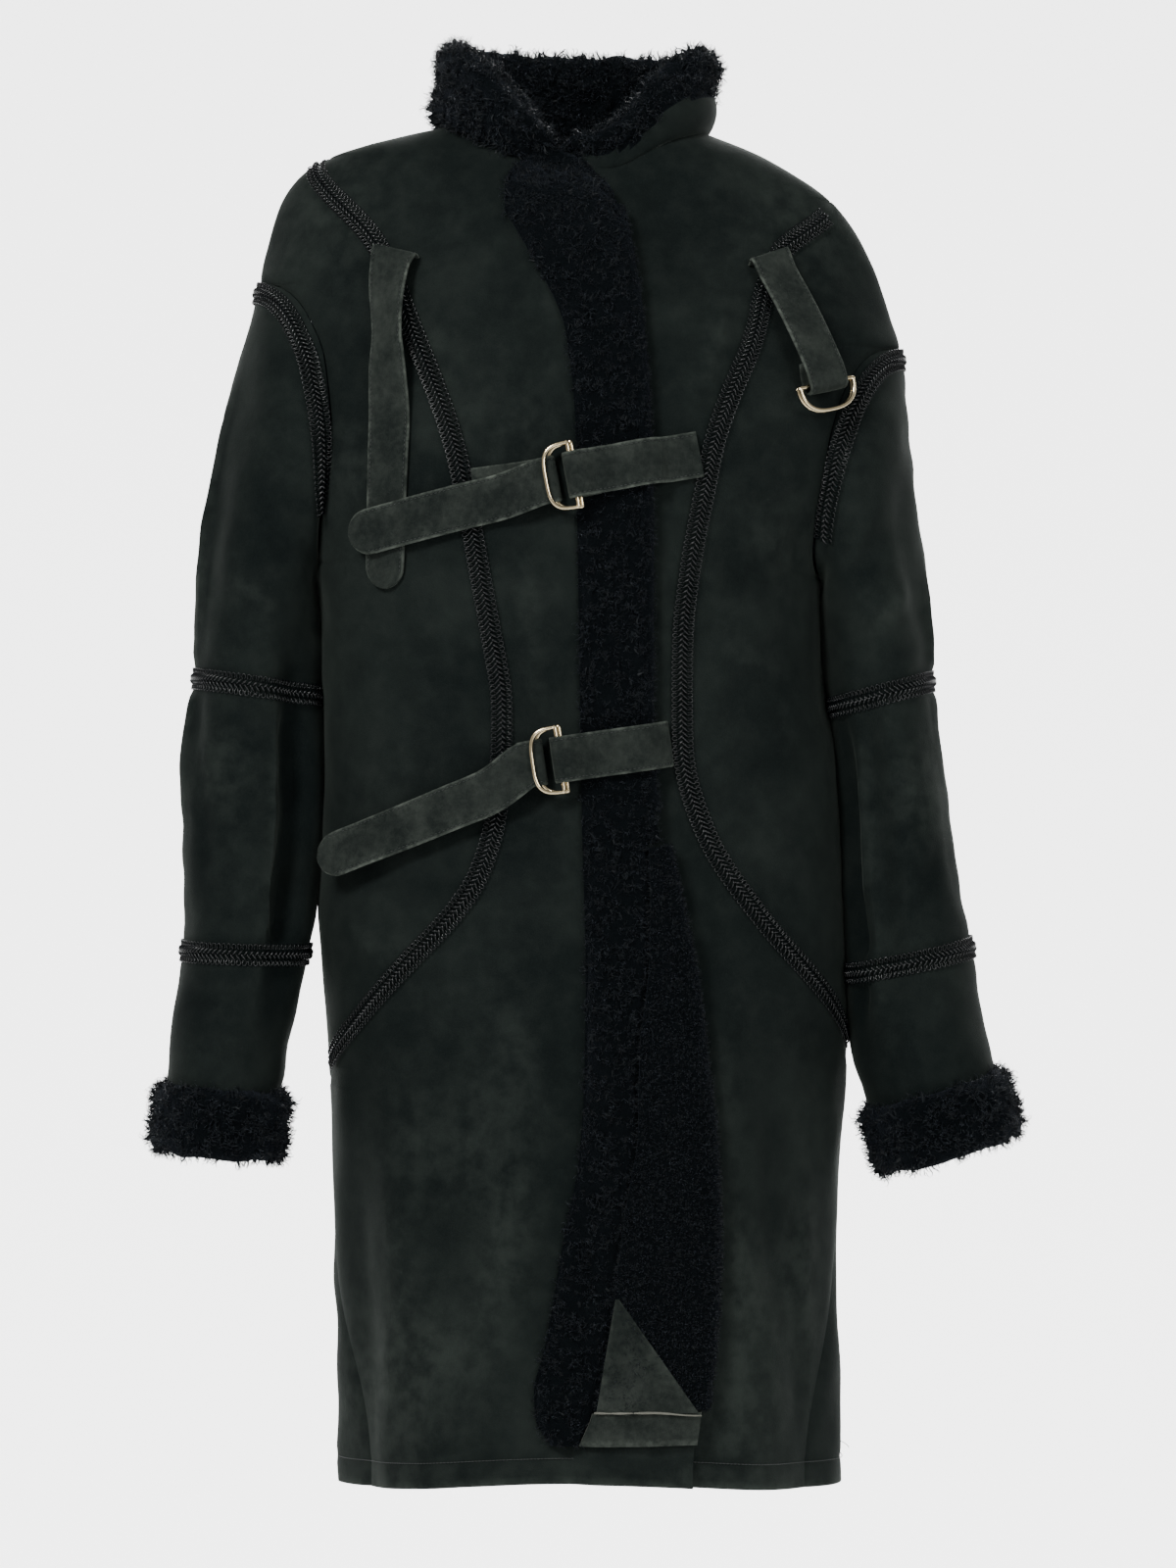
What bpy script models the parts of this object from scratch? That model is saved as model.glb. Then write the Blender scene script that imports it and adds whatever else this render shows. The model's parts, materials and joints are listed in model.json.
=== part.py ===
"""Knee-length suede coat with curly pile inside, in the hollow form that it takes when worn.

Metres, +Z up. The origin is the middle of the neck seam, the wearer faces -Y, and the wearer's right
side is at -X. Every panel is a wall with an outer and an inner grid of points, worked out from the
sections below; what lies on a panel is made from the same surface, moved out.
"""
import math

import bmesh
import bpy
import numpy as np

# ---------------------------------------------------------------- driving dimensions
WALL = 0.0075            # suede and the pile inside it
SLEEVE_WALL = 0.0065
SEAM_GAP = 0.0003        # between neighbouring pieces
LAP_LIFT = 0.0092        # the right front stands off where it lies over the left one
LAP_OVERLAP = 0.050      # hidden part of the left front, measured back from the fold line
LAP_MARGIN = 0.012       # the right front is clear of it this far before its edge
LAP_RAMP = 0.032
LAP_STARTS = -0.075      # height where the fronts begin to overlap
LAP_GROWS = 0.060
LAP_FADE = (-0.034, 0.036)     # the right front comes down to the neckline over this height
LAP_COLUMNS = (0.025, 0.050, 0.063, 0.071, 0.079, 0.087, 0.095)   # back from the fold line
REVERS_INNER = 0.0124    # turned-back front, inner and outer face above the body's surface
REVERS_OUTER = 0.0170
STRIP_CROWN = 0.0200     # curly strip, at its highest
STRIP_RIM = 0.0025       # thickness at its edges
STRIP_PRESSED = 0.0145   # the crown where a strap presses it down
PRESS_REACH = (0.027, 0.042)   # fully pressed, and free again, from the strap's middle
BAND_UNDER = 0.0018      # underside of a braid above its panel
RING_BAND_UNDER = 0.0013  # and of the braids round the sleeves
BAND_THICK = 0.0026
BRAID_WIDTH = 0.018
STRAP_WIDTH = 0.035
STRAP_THICK = 0.003
RING_WIRE = 0.003
RING_LENGTH = 0.049      # along the bar, between wire centres
RING_DEPTH = 0.0205      # from the bar to the top of the bow, between wire centres
RING_SQUARENESS = 4.5    # of the bow: 2 is a half ellipse, more is squarer
FREE_RING_SPREAD = 0.0018
NECK_LEVEL = 0.004
HEM_LEVEL = -1.060
ARMHOLE_TOP = -0.120
ARMHOLE_BOTTOM = -0.345
SLEEVE_COLUMNS = 16

# Body sections: level, half width on the wearer's right, on the wearer's left, depth in front,
# depth behind, roundness (2 is an ellipse, more is squarer).
BODY_SECTIONS = (
    (0.004, 0.106, 0.095, 0.070, 0.075, 2.00),
    (-0.006, 0.149, 0.149, 0.073, 0.079, 1.80),
    (-0.020, 0.199, 0.199, 0.078, 0.084, 1.70),
    (-0.039, 0.226, 0.226, 0.088, 0.094, 1.70),
    (-0.058, 0.238, 0.238, 0.096, 0.102, 1.75),
    (-0.085, 0.246, 0.246, 0.106, 0.112, 1.80),
    (-0.120, 0.253, 0.253, 0.116, 0.120, 1.90),
    (-0.160, 0.250, 0.250, 0.127, 0.126, 2.00),
    (-0.235, 0.235, 0.232, 0.138, 0.130, 2.10),
    (-0.290, 0.222, 0.208, 0.141, 0.127, 2.20),
    (-0.345, 0.209, 0.190, 0.139, 0.122, 2.30),
    (-0.400, 0.204, 0.190, 0.134, 0.116, 2.30),
    (-0.515, 0.203, 0.204, 0.130, 0.108, 2.30),
    (-0.610, 0.207, 0.209, 0.140, 0.122, 2.30),
    (-0.694, 0.201, 0.211, 0.148, 0.135, 2.30),
    (-0.750, 0.197, 0.209, 0.152, 0.140, 2.30),
    (-0.825, 0.194, 0.204, 0.158, 0.146, 2.30),
    (-0.903, 0.191, 0.201, 0.163, 0.151, 2.30),
    (-0.980, 0.187, 0.203, 0.168, 0.155, 2.30),
    (-1.060, 0.186, 0.203, 0.172, 0.158, 2.30),
)
# How far the wearer's left shoulder hangs below the right one: level, drop.
SHOULDER_DROP = (
    (0.004, 0.004), (-0.006, 0.016), (-0.020, 0.034), (-0.046, 0.058), (-0.066, 0.064),
    (-0.085, 0.062), (-0.120, 0.052), (-0.235, 0.030), (-0.345, 0.012), (-0.500, 0.0), (-1.060, 0.0),
)
NECK_DIP = 0.032         # the neckline is this much lower in front
NECK_DIP_REACH = 0.116
HEM_RISE = 0.021         # the hem is this much higher in front
HEM_RISE_FROM = -0.88
# Large soft folds: angle and half width in degrees, depth (out is positive), top and bottom level.
BODY_FOLDS = (
    (152, 7, -0.006, -0.60, -1.30), (168, 8, 0.005, -0.72, -1.30), (128, 9, 0.004, -0.78, -1.30),
    (30, 8, -0.006, -0.62, -1.30), (14, 7, 0.005, -0.74, -1.30), (48, 9, 0.004, -0.80, -1.30),
    (196, 9, -0.006, -0.70, -1.30), (222, 10, 0.007, -0.66, -1.30), (246, 9, -0.007, -0.56, -1.30),
    (270, 11, 0.007, -0.60, -1.30), (295, 9, -0.007, -0.58, -1.30), (320, 10, 0.006, -0.68, -1.30),
    (343, 8, -0.006, -0.74, -1.30),
)
# Seams between front and side front, under the braids: x and z as seen from the front.
SEAM_RIGHT = (
    (-0.155, -0.102), (-0.132, -0.157), (-0.090, -0.278), (-0.068, -0.396), (-0.059, -0.456),
    (-0.063, -0.537), (-0.0756, -0.582), (-0.135, -0.656), (-0.188, -0.721),
)
SEAM_LEFT = (
    (0.156, -0.102), (0.133, -0.172), (0.0986, -0.270), (0.0778, -0.404), (0.0778, -0.485),
    (0.095, -0.552), (0.139, -0.619), (0.197, -0.690),
)
SEAM_TOP_LEVEL = -0.020
SEAM_END_LEVEL = {"right": -0.751, "left": -0.735}
SEAM_END_ANGLE = 0.030   # the seams run out this close to the side line
SIDE_SEAM_AT_HEM = 28.0  # degrees in front of the side line, where the skirt's side seam ends
# Armhole seam in front, from its top to its bottom: x on the wearer's right and left.
ARMHOLE = (
    (-0.253, 0.253), (-0.232, 0.233), (-0.211, 0.214), (-0.197, 0.200), (-0.1925, 0.1915),
    (-0.1955, 0.1855), (-0.202, 0.182), (-0.2055, 0.1845), (-0.209, 0.190),
)
# Fold line of the turned-back front, free edge of the curly strip and the strip's seam: x and z.
FOLD_LINE = (
    (0.008, -0.034), (0.015, -0.045), (0.022, -0.066), (0.033, -0.110), (0.041, -0.162),
    (0.047, -0.241), (0.049, -0.346), (0.049, -0.441), (0.0515, -0.515), (0.066, -0.589),
    (0.081, -0.670), (0.087, -0.725), (0.093, -0.781), (0.096, -0.860), (0.0935, -0.925),
    (0.0876, -0.981), (0.084, -1.008), (0.082, -1.042),
)
STRIP_EDGE = (
    (-0.057, -0.078), (-0.035, -0.118), (-0.010, -0.177), (-0.003, -0.250), (-0.0015, -0.338),
    (0.0, -0.441), (0.0015, -0.544), (0.0044, -0.657), (0.0037, -0.725), (0.0, -0.792),
    (-0.0125, -0.860), (-0.027, -0.942), (-0.034, -0.970), (-0.033, -0.990), (-0.020, -1.012),
)
STRIP_SEAM = (
    (0.0495, -0.560), (0.051, -0.600), (0.050, -0.650), (0.0427, -0.720), (0.0415, -0.780),
    (0.034, -0.826), (0.025, -0.895), (0.021, -0.935), (0.015, -0.960), (0.008, -0.988),
    (-0.002, -1.012),
)
STRIP_TOP, STRIP_BOTTOM = -0.078, -1.012
REVERS_TOP, REVERS_BOTTOM = -0.585, -0.984
TURNUP_TOP, TURNUP_BOTTOM = -0.986, -1.010
PATCH_APEX = (0.0262, -0.898)
PATCH_LEFT = (0.0125, -0.982)
PATCH_RIGHT = (0.0800, -0.980)
STRAP_LEVELS = (-0.283, -0.497)   # where the two fastened straps cross the strip

# Sleeve sections from the armhole down: outer x and z, inner x and z, middle y, half depth, and how
# far the middle of the section bows towards the body.
SLEEVE_RIGHT = (
    (-0.2620, -0.155, -0.2125, -0.353, 0.000, 0.088, 0.022),
    (-0.2750, -0.200, -0.2115, -0.364, 0.000, 0.082, 0.012),
    (-0.2870, -0.250, -0.2100, -0.378, 0.000, 0.078, 0.006),
    (-0.2980, -0.315, -0.2080, -0.396, 0.000, 0.074, 0.0),
    (-0.3035, -0.365, -0.2070, -0.414, -0.002, 0.071, 0.0),
    (-0.3040, -0.432, -0.2096, -0.446, -0.005, 0.069, 0.0),
    (-0.3120, -0.484, -0.2060, -0.492, -0.009, 0.067, 0.0),
    (-0.3139, -0.539, -0.2068, -0.543, -0.014, 0.064, 0.0),
    (-0.3116, -0.590, -0.2090, -0.592, -0.020, 0.061, 0.0),
    (-0.3112, -0.645, -0.2165, -0.648, -0.027, 0.058, 0.0),
    (-0.3180, -0.693, -0.2235, -0.697, -0.033, 0.056, 0.0),
    (-0.3230, -0.748, -0.2340, -0.756, -0.040, 0.054, 0.0),
)
SLEEVE_LEFT = (
    (0.2575, -0.210, 0.1975, -0.366, 0.000, 0.086, 0.018),
    (0.2620, -0.260, 0.1970, -0.377, 0.000, 0.081, 0.010),
    (0.2660, -0.305, 0.1970, -0.390, 0.000, 0.077, 0.005),
    (0.2725, -0.352, 0.1970, -0.404, 0.000, 0.073, 0.0),
    (0.2770, -0.395, 0.1985, -0.421, -0.002, 0.070, 0.0),
    (0.2775, -0.434, 0.2025, -0.456, -0.005, 0.068, 0.0),
    (0.2837, -0.492, 0.2072, -0.503, -0.009, 0.066, 0.0),
    (0.2890, -0.539, 0.2092, -0.549, -0.014, 0.063, 0.0),
    (0.2970, -0.593, 0.2122, -0.603, -0.020, 0.060, 0.0),
    (0.3070, -0.642, 0.2140, -0.663, -0.027, 0.058, 0.0),
    (0.3147, -0.693, 0.2145, -0.714, -0.033, 0.056, 0.0),
    (0.3240, -0.738, 0.2250, -0.768, -0.040, 0.054, 0.0),
)
ELBOW, FOREARM, WRIST = 6, 10, 12
# Sleeve folds: side, angle from the outside towards the front and half width in degrees, depth,
# first and last section.
SLEEVE_FOLDS = (
    ("right", 128, 16, -0.009, 4.5, 10.5), ("right", 40, 18, -0.005, 1.0, 6.0),
    ("right", 250, 20, -0.005, 4.0, 10.0), ("left", 112, 16, -0.009, 5.5, 11.0),
    ("left", 45, 18, -0.005, 1.5, 6.0), ("left", 250, 22, -0.004, 4.0, 10.0),
)
# Section of a turned-back cuff: outwards from the sleeve's face, and down from the sleeve's end.
CUFF_SECTION = (
    (-0.0065, 0.0006), (0.0040, 0.0006), (0.0130, 0.0020), (0.0180, 0.0120), (0.0190, 0.0300),
    (0.0150, 0.0480), (0.0060, 0.0570), (-0.0060, 0.0540), (-0.0085, 0.0300),
)
# Collar sections round the neck: angle in degrees (0 is the wearer's left, 90 the front, 270 the
# back), height, how far the top leans out, thickness, how far the outer edge hangs below the seam.
COLLAR_SECTIONS = (
    (66, 0.020, 0.002, 0.020, 0.000), (54, 0.036, 0.004, 0.022, 0.000),
    (38, 0.060, 0.010, 0.026, 0.000), (20, 0.070, 0.014, 0.028, -0.001),
    (0, 0.070, 0.016, 0.028, -0.002), (-30, 0.072, 0.012, 0.028, -0.003),
    (-60, 0.076, 0.010, 0.028, -0.002), (-90, 0.078, 0.010, 0.028, -0.001),
    (-120, 0.076, 0.010, 0.028, -0.002), (-150, 0.074, 0.010, 0.028, -0.003),
    (-180, 0.072, 0.006, 0.030, -0.003), (-198, 0.070, 0.010, 0.034, 0.000),
    (-213, 0.062, 0.016, 0.038, 0.008), (-228, 0.048, 0.018, 0.038, 0.012),
    (-242, 0.030, 0.016, 0.032, 0.012), (-252, 0.016, 0.008, 0.022, 0.006),
)
COLLAR_STEPS = 27

# Fastened straps: x and z where the strap from the wearer's left starts, the middle of its loop, the
# slope in degrees of that strap, where the tongue starts, and the end of the tongue.
CLOSURES = {
    "upper": {"start": (0.0815, -0.2667), "loop": (-0.0037, -0.2830), "slope": 10.6,
              "tongue_start": (-0.0765, -0.2932), "tongue_slope": 4.0,
              "tongue": ((-0.060, -0.2985), (-0.090, -0.3055), (-0.125, -0.3140), (-0.150, -0.3200)),
              "tongue_end": (-0.1746, -0.3268), "turn_down": 13.0, "stand_off": 0.0062},
    "lower": {"start": (0.0660, -0.4845), "loop": (-0.0133, -0.4960), "slope": 8.4,
              "tongue_start": (-0.0450, -0.5010), "tongue_slope": 6.0,
              "tongue": ((-0.066, -0.5205), (-0.095, -0.5340), (-0.125, -0.5475), (-0.155, -0.5605)),
              "tongue_end": (-0.1960, -0.5790), "turn_down": 25.0, "stand_off": 0.0130},
}
# Heights of the layers of a fastened strap above the body's surface.
STRAP_CLEAR = 0.0011     # underside of a strap above what it lies on
LAYER_STEP = 0.0042      # between the middles of a strap and of the wire that crosses it
TURN_AHEAD = 0.0010      # the tongue turns this far inside the bow, for the bow's round corners
LOOP_RADIUS = 0.0057     # of the strap's middle, round the two bars
TONGUE_LOW = LAP_LIFT + STRAP_CLEAR + STRAP_THICK / 2
BOW_B = TONGUE_LOW + LAYER_STEP
TONGUE_HIGH = BOW_B + LAYER_STEP
BOW_A = TONGUE_HIGH + LAYER_STEP
LOOP_LOW = STRIP_PRESSED + STRAP_CLEAR + STRAP_THICK / 2
LOOP_MIDDLE = LOOP_LOW + LOOP_RADIUS
# The two bars in the loop: distance along the strap from the loop's middle, and height.
BARS = {"a": (-0.0014, LOOP_MIDDLE + 0.0018), "b": (0.0014, LOOP_MIDDLE - 0.0018)}
# Loose third strap: x, z and height of the tongue, and of the strap that carries two loose rings.
FREE_TONGUE = (
    (-0.1440, -0.1080, 0.0062), (-0.1440, -0.1250, 0.0072), (-0.1435, -0.1500, 0.0074),
    (-0.1430, -0.1800, 0.0074), (-0.1432, -0.2050, 0.0068), (-0.1440, -0.2350, 0.0036),
    (-0.1455, -0.2700, 0.0026),
    (-0.1470, -0.3200, 0.0024), (-0.1478, -0.3480, 0.0024),
)
FREE_RING_STRAP = (
    (0.1440, -0.1080, 0.0077), (0.1500, -0.1250, 0.0094), (0.1600, -0.1500, 0.0125),
    (0.1690, -0.1750, 0.0170),
)
FREE_LOOP = (0.1800, -0.2100, 0.0160)    # middle of the loop: x, z, height
FREE_LOOP_RADIUS = 0.0054                # of the strap's middle, round the two bars
# Heights of a ring strap where it leaves the left front and climbs over the fold, from the fold line.
RING_STRAP_CLIMB = ((0.017, 0.0050), (0.007, 0.0150), (-0.006, LOOP_LOW + 0.0026))
# Its upper layer before the loop: distance from the loop's middle, and height.
RING_STRAP_UPPER = ((0.030, LOOP_LOW + 0.0006), (0.021, LOOP_LOW + 0.0036),
                    (0.013, LOOP_LOW + 0.0060), (0.0065, LOOP_MIDDLE + LOOP_RADIUS - 0.0008))
RING_STRAP_TAIL = (0.009, 0.0165)        # its folded-back end, from the loop's middle
RING_STRAP_FOOT = 0.0030                 # height of its sewn-down start
ROUND_END = (0.45, 0.80, 0.97)           # shares of a strap's half width at its rounded end

MATERIALS = {
    "suede": ((0.018, 0.022, 0.019), 0.90, 0.0),
    "curly_fur": ((0.006, 0.008, 0.009), 0.95, 0.0),
    "braid": ((0.010, 0.011, 0.011), 0.45, 0.0),
    "strap": ((0.026, 0.032, 0.027), 0.80, 0.0),
    "gold_ring": ((0.72, 0.56, 0.33), 0.25, 1.0),
}


# ---------------------------------------------------------------- curves and the body's surface
def smooth_curve(points):
    """Return y(x) through the points, smooth and never past them between two of them."""
    points = sorted(points)
    x = np.array([p[0] for p in points])
    y = np.array([p[1] for p in points])
    step = np.diff(x)
    rise = np.diff(y) / step
    slope = np.zeros(len(x))
    slope[0], slope[-1] = rise[0], rise[-1]
    for i in range(1, len(x) - 1):
        if rise[i - 1] * rise[i] > 0.0:
            weight = (2 * step[i] + step[i - 1], step[i] + 2 * step[i - 1])
            slope[i] = sum(weight) / (weight[0] / rise[i - 1] + weight[1] / rise[i])

    def value(at):
        at = min(max(at, x[0]), x[-1])
        i = min(max(int(np.searchsorted(x, at)) - 1, 0), len(step) - 1)
        t = (at - x[i]) / step[i]
        return ((1 + 2 * t) * (1 - t) ** 2 * y[i] + t * (1 - t) ** 2 * step[i] * slope[i]
                + t * t * (3 - 2 * t) * y[i + 1] + t * t * (t - 1) * step[i] * slope[i + 1])
    return value


def ease(t):
    """Rise smoothly from 0 to 1."""
    t = min(max(t, 0.0), 1.0)
    return t * t * (3 - 2 * t)


def unit(vector):
    """Return the vector at length 1."""
    return vector / np.linalg.norm(vector)


HALF_RIGHT, HALF_LEFT, DEPTH_FRONT, DEPTH_BACK, ROUNDNESS = (
    smooth_curve([(row[0], row[k]) for row in BODY_SECTIONS]) for k in range(1, 6))
DROP = smooth_curve(SHOULDER_DROP)


def fold_depth(angle, level):
    """Depth of the large folds at a place on the body."""
    degrees = math.degrees(angle) % 360
    total = 0.0
    for centre, half, depth, top, bottom in BODY_FOLDS:
        away = (degrees - centre + 180) % 360 - 180
        if abs(away) < 3 * half:
            total += depth * math.exp(-(away / half) ** 2) * ease((top - level) / 0.30)
    return total


def body_point(angle, level):
    """Return the point of the body's outer surface at an angle round it and a level."""
    c, s = math.cos(angle), math.sin(angle)
    half = HALF_RIGHT(level) if c < 0 else HALF_LEFT(level)
    deep = DEPTH_FRONT(level) if s > 0 else DEPTH_BACK(level)
    power = ROUNDNESS(level)
    reach = (abs(c / half) ** power + abs(s / deep) ** power) ** (-1 / power)
    reach += fold_depth(angle, level)
    front = max(s, 0.0) ** 2
    z = level - NECK_DIP * front * (1 - ease((NECK_LEVEL - level) / NECK_DIP_REACH))
    z -= DROP(level) * max(c, 0.0) ** 1.2
    z += HEM_RISE * front * ease((HEM_RISE_FROM - level) / (HEM_RISE_FROM - HEM_LEVEL))
    return np.array((reach * c, -reach * s, z))


def surface_normal(surface, u, v, step_u=0.004, step_v=0.001):
    """Return the normal of a surface by small differences, with v rising and u going round."""
    along_u = surface(u + step_u, v) - surface(u - step_u, v)
    along_v = surface(u, v + step_v) - surface(u, v - step_v)
    return unit(np.cross(along_v, along_u))


def lifted(angle, level, lift):
    """Return the body's point, moved out by the lift."""
    return body_point(angle, level) + lift * surface_normal(body_point, angle, level)


def place_of(x, z, back=False):
    """Return the angle and level of the point that is seen at x and z from the front or back."""
    level, reach_x, angle = z, x, 0.0
    for _ in range(40):
        level = min(max(level, HEM_LEVEL), NECK_LEVEL)
        half = HALF_RIGHT(level) if reach_x < 0 else HALF_LEFT(level)
        power = ROUNDNESS(level)
        share = min(abs(reach_x) / half, 0.9995)
        deep = DEPTH_BACK(level) if back else DEPTH_FRONT(level)
        y = deep * (1 - share ** power) ** (1 / power)
        angle = math.atan2(-y if back else y, math.copysign(share * half, reach_x))
        found = body_point(angle, level)
        level += 0.7 * (z - found[2])
        reach_x += 0.7 * (x - found[0])
    return angle % (2 * math.pi), min(max(level, HEM_LEVEL), NECK_LEVEL)


def seam_curve(side, back):
    """Return the angle of a braided seam at a level."""
    table = SEAM_RIGHT if side == "right" else SEAM_LEFT
    side_line = math.pi if side == "right" else (2 * math.pi if back else 0.0)
    inwards = (1 if side == "left" else -1) * (-1 if back else 1)
    ends = side_line + inwards * SEAM_END_ANGLE
    rows = [(SEAM_TOP_LEVEL, ends), (SEAM_END_LEVEL[side], ends)]
    for x, z in table:
        angle, level = place_of(x, z, back)
        rows.append((level, angle))
    return smooth_curve(rows)


SEAMS = {(side, back): seam_curve(side, back) for side in ("right", "left") for back in (False, True)}


def side_line(side, back):
    """Return the angle of the side line, counted on from the front or from the back."""
    if side == "right":
        return math.pi
    return 2 * math.pi if back else 0.0


def armhole_levels():
    """Return the armhole's levels, close together at its top and bottom."""
    middle, half = (ARMHOLE_TOP + ARMHOLE_BOTTOM) / 2, (ARMHOLE_TOP - ARMHOLE_BOTTOM) / 2
    steps = SLEEVE_COLUMNS // 2
    return [middle + half * math.cos(math.pi * k / steps) for k in range(steps + 1)]


def armhole_curve(side, back):
    """Return the angle of the armhole seam for a share of the way from its top to its bottom."""
    rows = []
    for k, level in enumerate(armhole_levels()):
        x = ARMHOLE[k][0 if side == "right" else 1]
        half = HALF_RIGHT(level) if side == "right" else HALF_LEFT(level)
        power = ROUNDNESS(level)
        deep = DEPTH_BACK(level) if back else DEPTH_FRONT(level)
        share = min(abs(x) / half, 1.0)
        y = 0.0 if k in (0, SLEEVE_COLUMNS // 2) else deep * (1 - share ** power) ** (1 / power)
        angle = math.atan2(-y if back else y, x) % (2 * math.pi)
        if k in (0, SLEEVE_COLUMNS // 2):
            angle = side_line(side, back)
        rows.append((k / (SLEEVE_COLUMNS // 2), angle))
    return smooth_curve(rows)


ARMHOLES = {(side, back): armhole_curve(side, back) for side in ("right", "left")
            for back in (False, True)}


def edge_angle(side, back, level):
    """Return where a side panel ends: at the armhole, or else at the side line."""
    if ARMHOLE_BOTTOM < level < ARMHOLE_TOP:
        middle, half = (ARMHOLE_TOP + ARMHOLE_BOTTOM) / 2, (ARMHOLE_TOP - ARMHOLE_BOTTOM) / 2
        return ARMHOLES[side, back](math.acos((level - middle) / half) / math.pi)
    return side_line(side, back)


def skirt_seam(side, level):
    """Return the angle of the skirt's side seam, which drifts forwards down to the hem."""
    end = SEAM_END_LEVEL[side]
    drift = math.radians(SIDE_SEAM_AT_HEM) * ease((end - level) / (end - HEM_LEVEL))
    return math.pi - drift if side == "right" else drift


FOLD_X = smooth_curve([(z, x) for x, z in FOLD_LINE])
STRIP_EDGE_X = smooth_curve([(z, x) for x, z in STRIP_EDGE])
STRIP_SEAM_X = smooth_curve([(z, x) for x, z in STRIP_SEAM])
# How far from the armhole a braid lies on the sleeve, from the angle away from the sleeve's top.
ARMHOLE_BRAID_SECTION = smooth_curve(((0.0, 0.30), (1.6, 0.45), (2.4, 0.70)))


def hidden_edge_x(z):
    """Return the x of the left front's hidden free edge."""
    return FOLD_X(z) + 0.0004 - LAP_OVERLAP * ease((LAP_STARTS - z) / LAP_GROWS)


def lap(x, z):
    """Return how far the right front stands off the body's surface."""
    fade = ease((LAP_FADE[0] - z) / LAP_FADE[1])
    full_from = FOLD_X(z) - LAP_OVERLAP - LAP_MARGIN
    return LAP_LIFT * fade * ease((x - full_from + LAP_RAMP) / LAP_RAMP)


def on_front(x, z, lift):
    """Return a point over the front, and the normal there."""
    angle, level = place_of(x, z)
    return lifted(angle, level, lift), surface_normal(body_point, angle, level)


# ---------------------------------------------------------------- sleeves' surface
def sleeve_ring(side, k, turn):
    """Return the point of one sleeve section at an angle from the outside towards the front."""
    back = math.sin(turn) < 0
    if k == 0:
        middle, half = (ARMHOLE_TOP + ARMHOLE_BOTTOM) / 2, (ARMHOLE_TOP - ARMHOLE_BOTTOM) / 2
        away = math.acos(min(max(math.cos(turn), -1.0), 1.0)) / math.pi
        return body_point(ARMHOLES[side, back](away), middle + half * math.cos(turn))
    table = SLEEVE_RIGHT if side == "right" else SLEEVE_LEFT
    outer_x, outer_z, inner_x, inner_z, middle_y, depth, bow = table[k - 1]
    c, s = math.cos(turn), math.sin(turn)
    towards = 1 if side == "right" else -1
    x = (outer_x + inner_x) / 2 + (outer_x - inner_x) / 2 * c + towards * bow * s * s
    z = (outer_z + inner_z) / 2 + (outer_z - inner_z) / 2 * c
    return np.array((x, middle_y - depth * s, z))


def sleeve_surface(side):
    """Return the sleeve's outer surface: angle round it, and section counted from the armhole."""
    def point(turn, section):
        k = min(int(section), WRIST - 1)
        t = section - k
        rings = [sleeve_ring(side, min(max(k + d, 0), WRIST), turn) for d in (-1, 0, 1, 2)]
        before, start, end, after = rings
        place = 0.5 * (2 * start + (end - before) * t
                       + (2 * before - 5 * start + 4 * end - after) * t * t
                       + (3 * start - before - 3 * end + after) * t ** 3)
        degrees = math.degrees(turn) % 360
        sink = 0.0
        for name, centre, half, depth, first, last in SLEEVE_FOLDS:
            if name == side:
                away = (degrees - centre + 180) % 360 - 180
                sink += (depth * math.exp(-(away / half) ** 2)
                         * ease((section - first) / 1.5) * ease((last - section) / 1.5))
        middle = sum(sleeve_ring(side, min(max(round(section), 1), WRIST), a)
                     for a in (0.0, math.pi)) / 2
        outwards = place - middle
        outwards[2] = 0.0
        return place + sink * unit(outwards)
    return point


SLEEVES = {side: sleeve_surface(side) for side in ("right", "left")}


def sleeve_normal(side, turn, section):
    """Return the outward normal of a sleeve."""
    section = min(max(section, 0.02), WRIST - 0.02)
    normal = surface_normal(SLEEVES[side], turn, section, 0.03, 0.02)
    table = SLEEVE_RIGHT if side == "right" else SLEEVE_LEFT
    row = table[min(max(round(section), 1), WRIST) - 1]
    outwards = SLEEVES[side](turn, section) - np.array(
        ((row[0] + row[2]) / 2, row[4], SLEEVES[side](turn, section)[2]))
    return normal if np.dot(normal, outwards) > 0 else -normal


def sleeve_end_down(side):
    """Return the direction square to the sleeve's last ring, downwards."""
    width = sleeve_ring(side, WRIST, 0.0) - sleeve_ring(side, WRIST, math.pi)
    down = unit(np.cross(width, np.array((0.0, 1.0, 0.0))))
    return down if down[2] < 0 else -down


# ---------------------------------------------------------------- mesh helpers
def start_scene():
    """Empty the scene and return the collection that the pieces go into."""
    for existing in list(bpy.data.objects):
        bpy.data.objects.remove(existing, do_unlink=True)
    collection = bpy.data.collections.new("suede_coat")
    bpy.context.scene.collection.children.link(collection)
    return collection


def make_material(name):
    """Return a plain Principled material."""
    colour, roughness, metallic = MATERIALS[name]
    material = bpy.data.materials.new(name)
    material.use_nodes = True
    shader = material.node_tree.nodes["Principled BSDF"]
    shader.inputs["Base Color"].default_value = (*colour, 1.0)
    shader.inputs["Roughness"].default_value = roughness
    shader.inputs["Metallic"].default_value = metallic
    return material


def add_mesh(name, material, grids, faces):
    """Make one object from a flat list of points and its faces, with the faces outwards."""
    mesh = bpy.data.meshes.new(name)
    mesh.from_pydata([tuple(p) for p in grids], [], faces)
    shape = bmesh.new()
    shape.from_mesh(mesh)
    bmesh.ops.recalc_face_normals(shape, faces=shape.faces)
    if shape.calc_volume(signed=True) < 0:
        bmesh.ops.reverse_faces(shape, faces=shape.faces)
    shape.to_mesh(mesh)
    shape.free()
    mesh.materials.append(MADE_MATERIALS[material])
    mesh.shade_smooth()
    made = bpy.data.objects.new(name, mesh)
    PIECES.objects.link(made)
    return made


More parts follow.
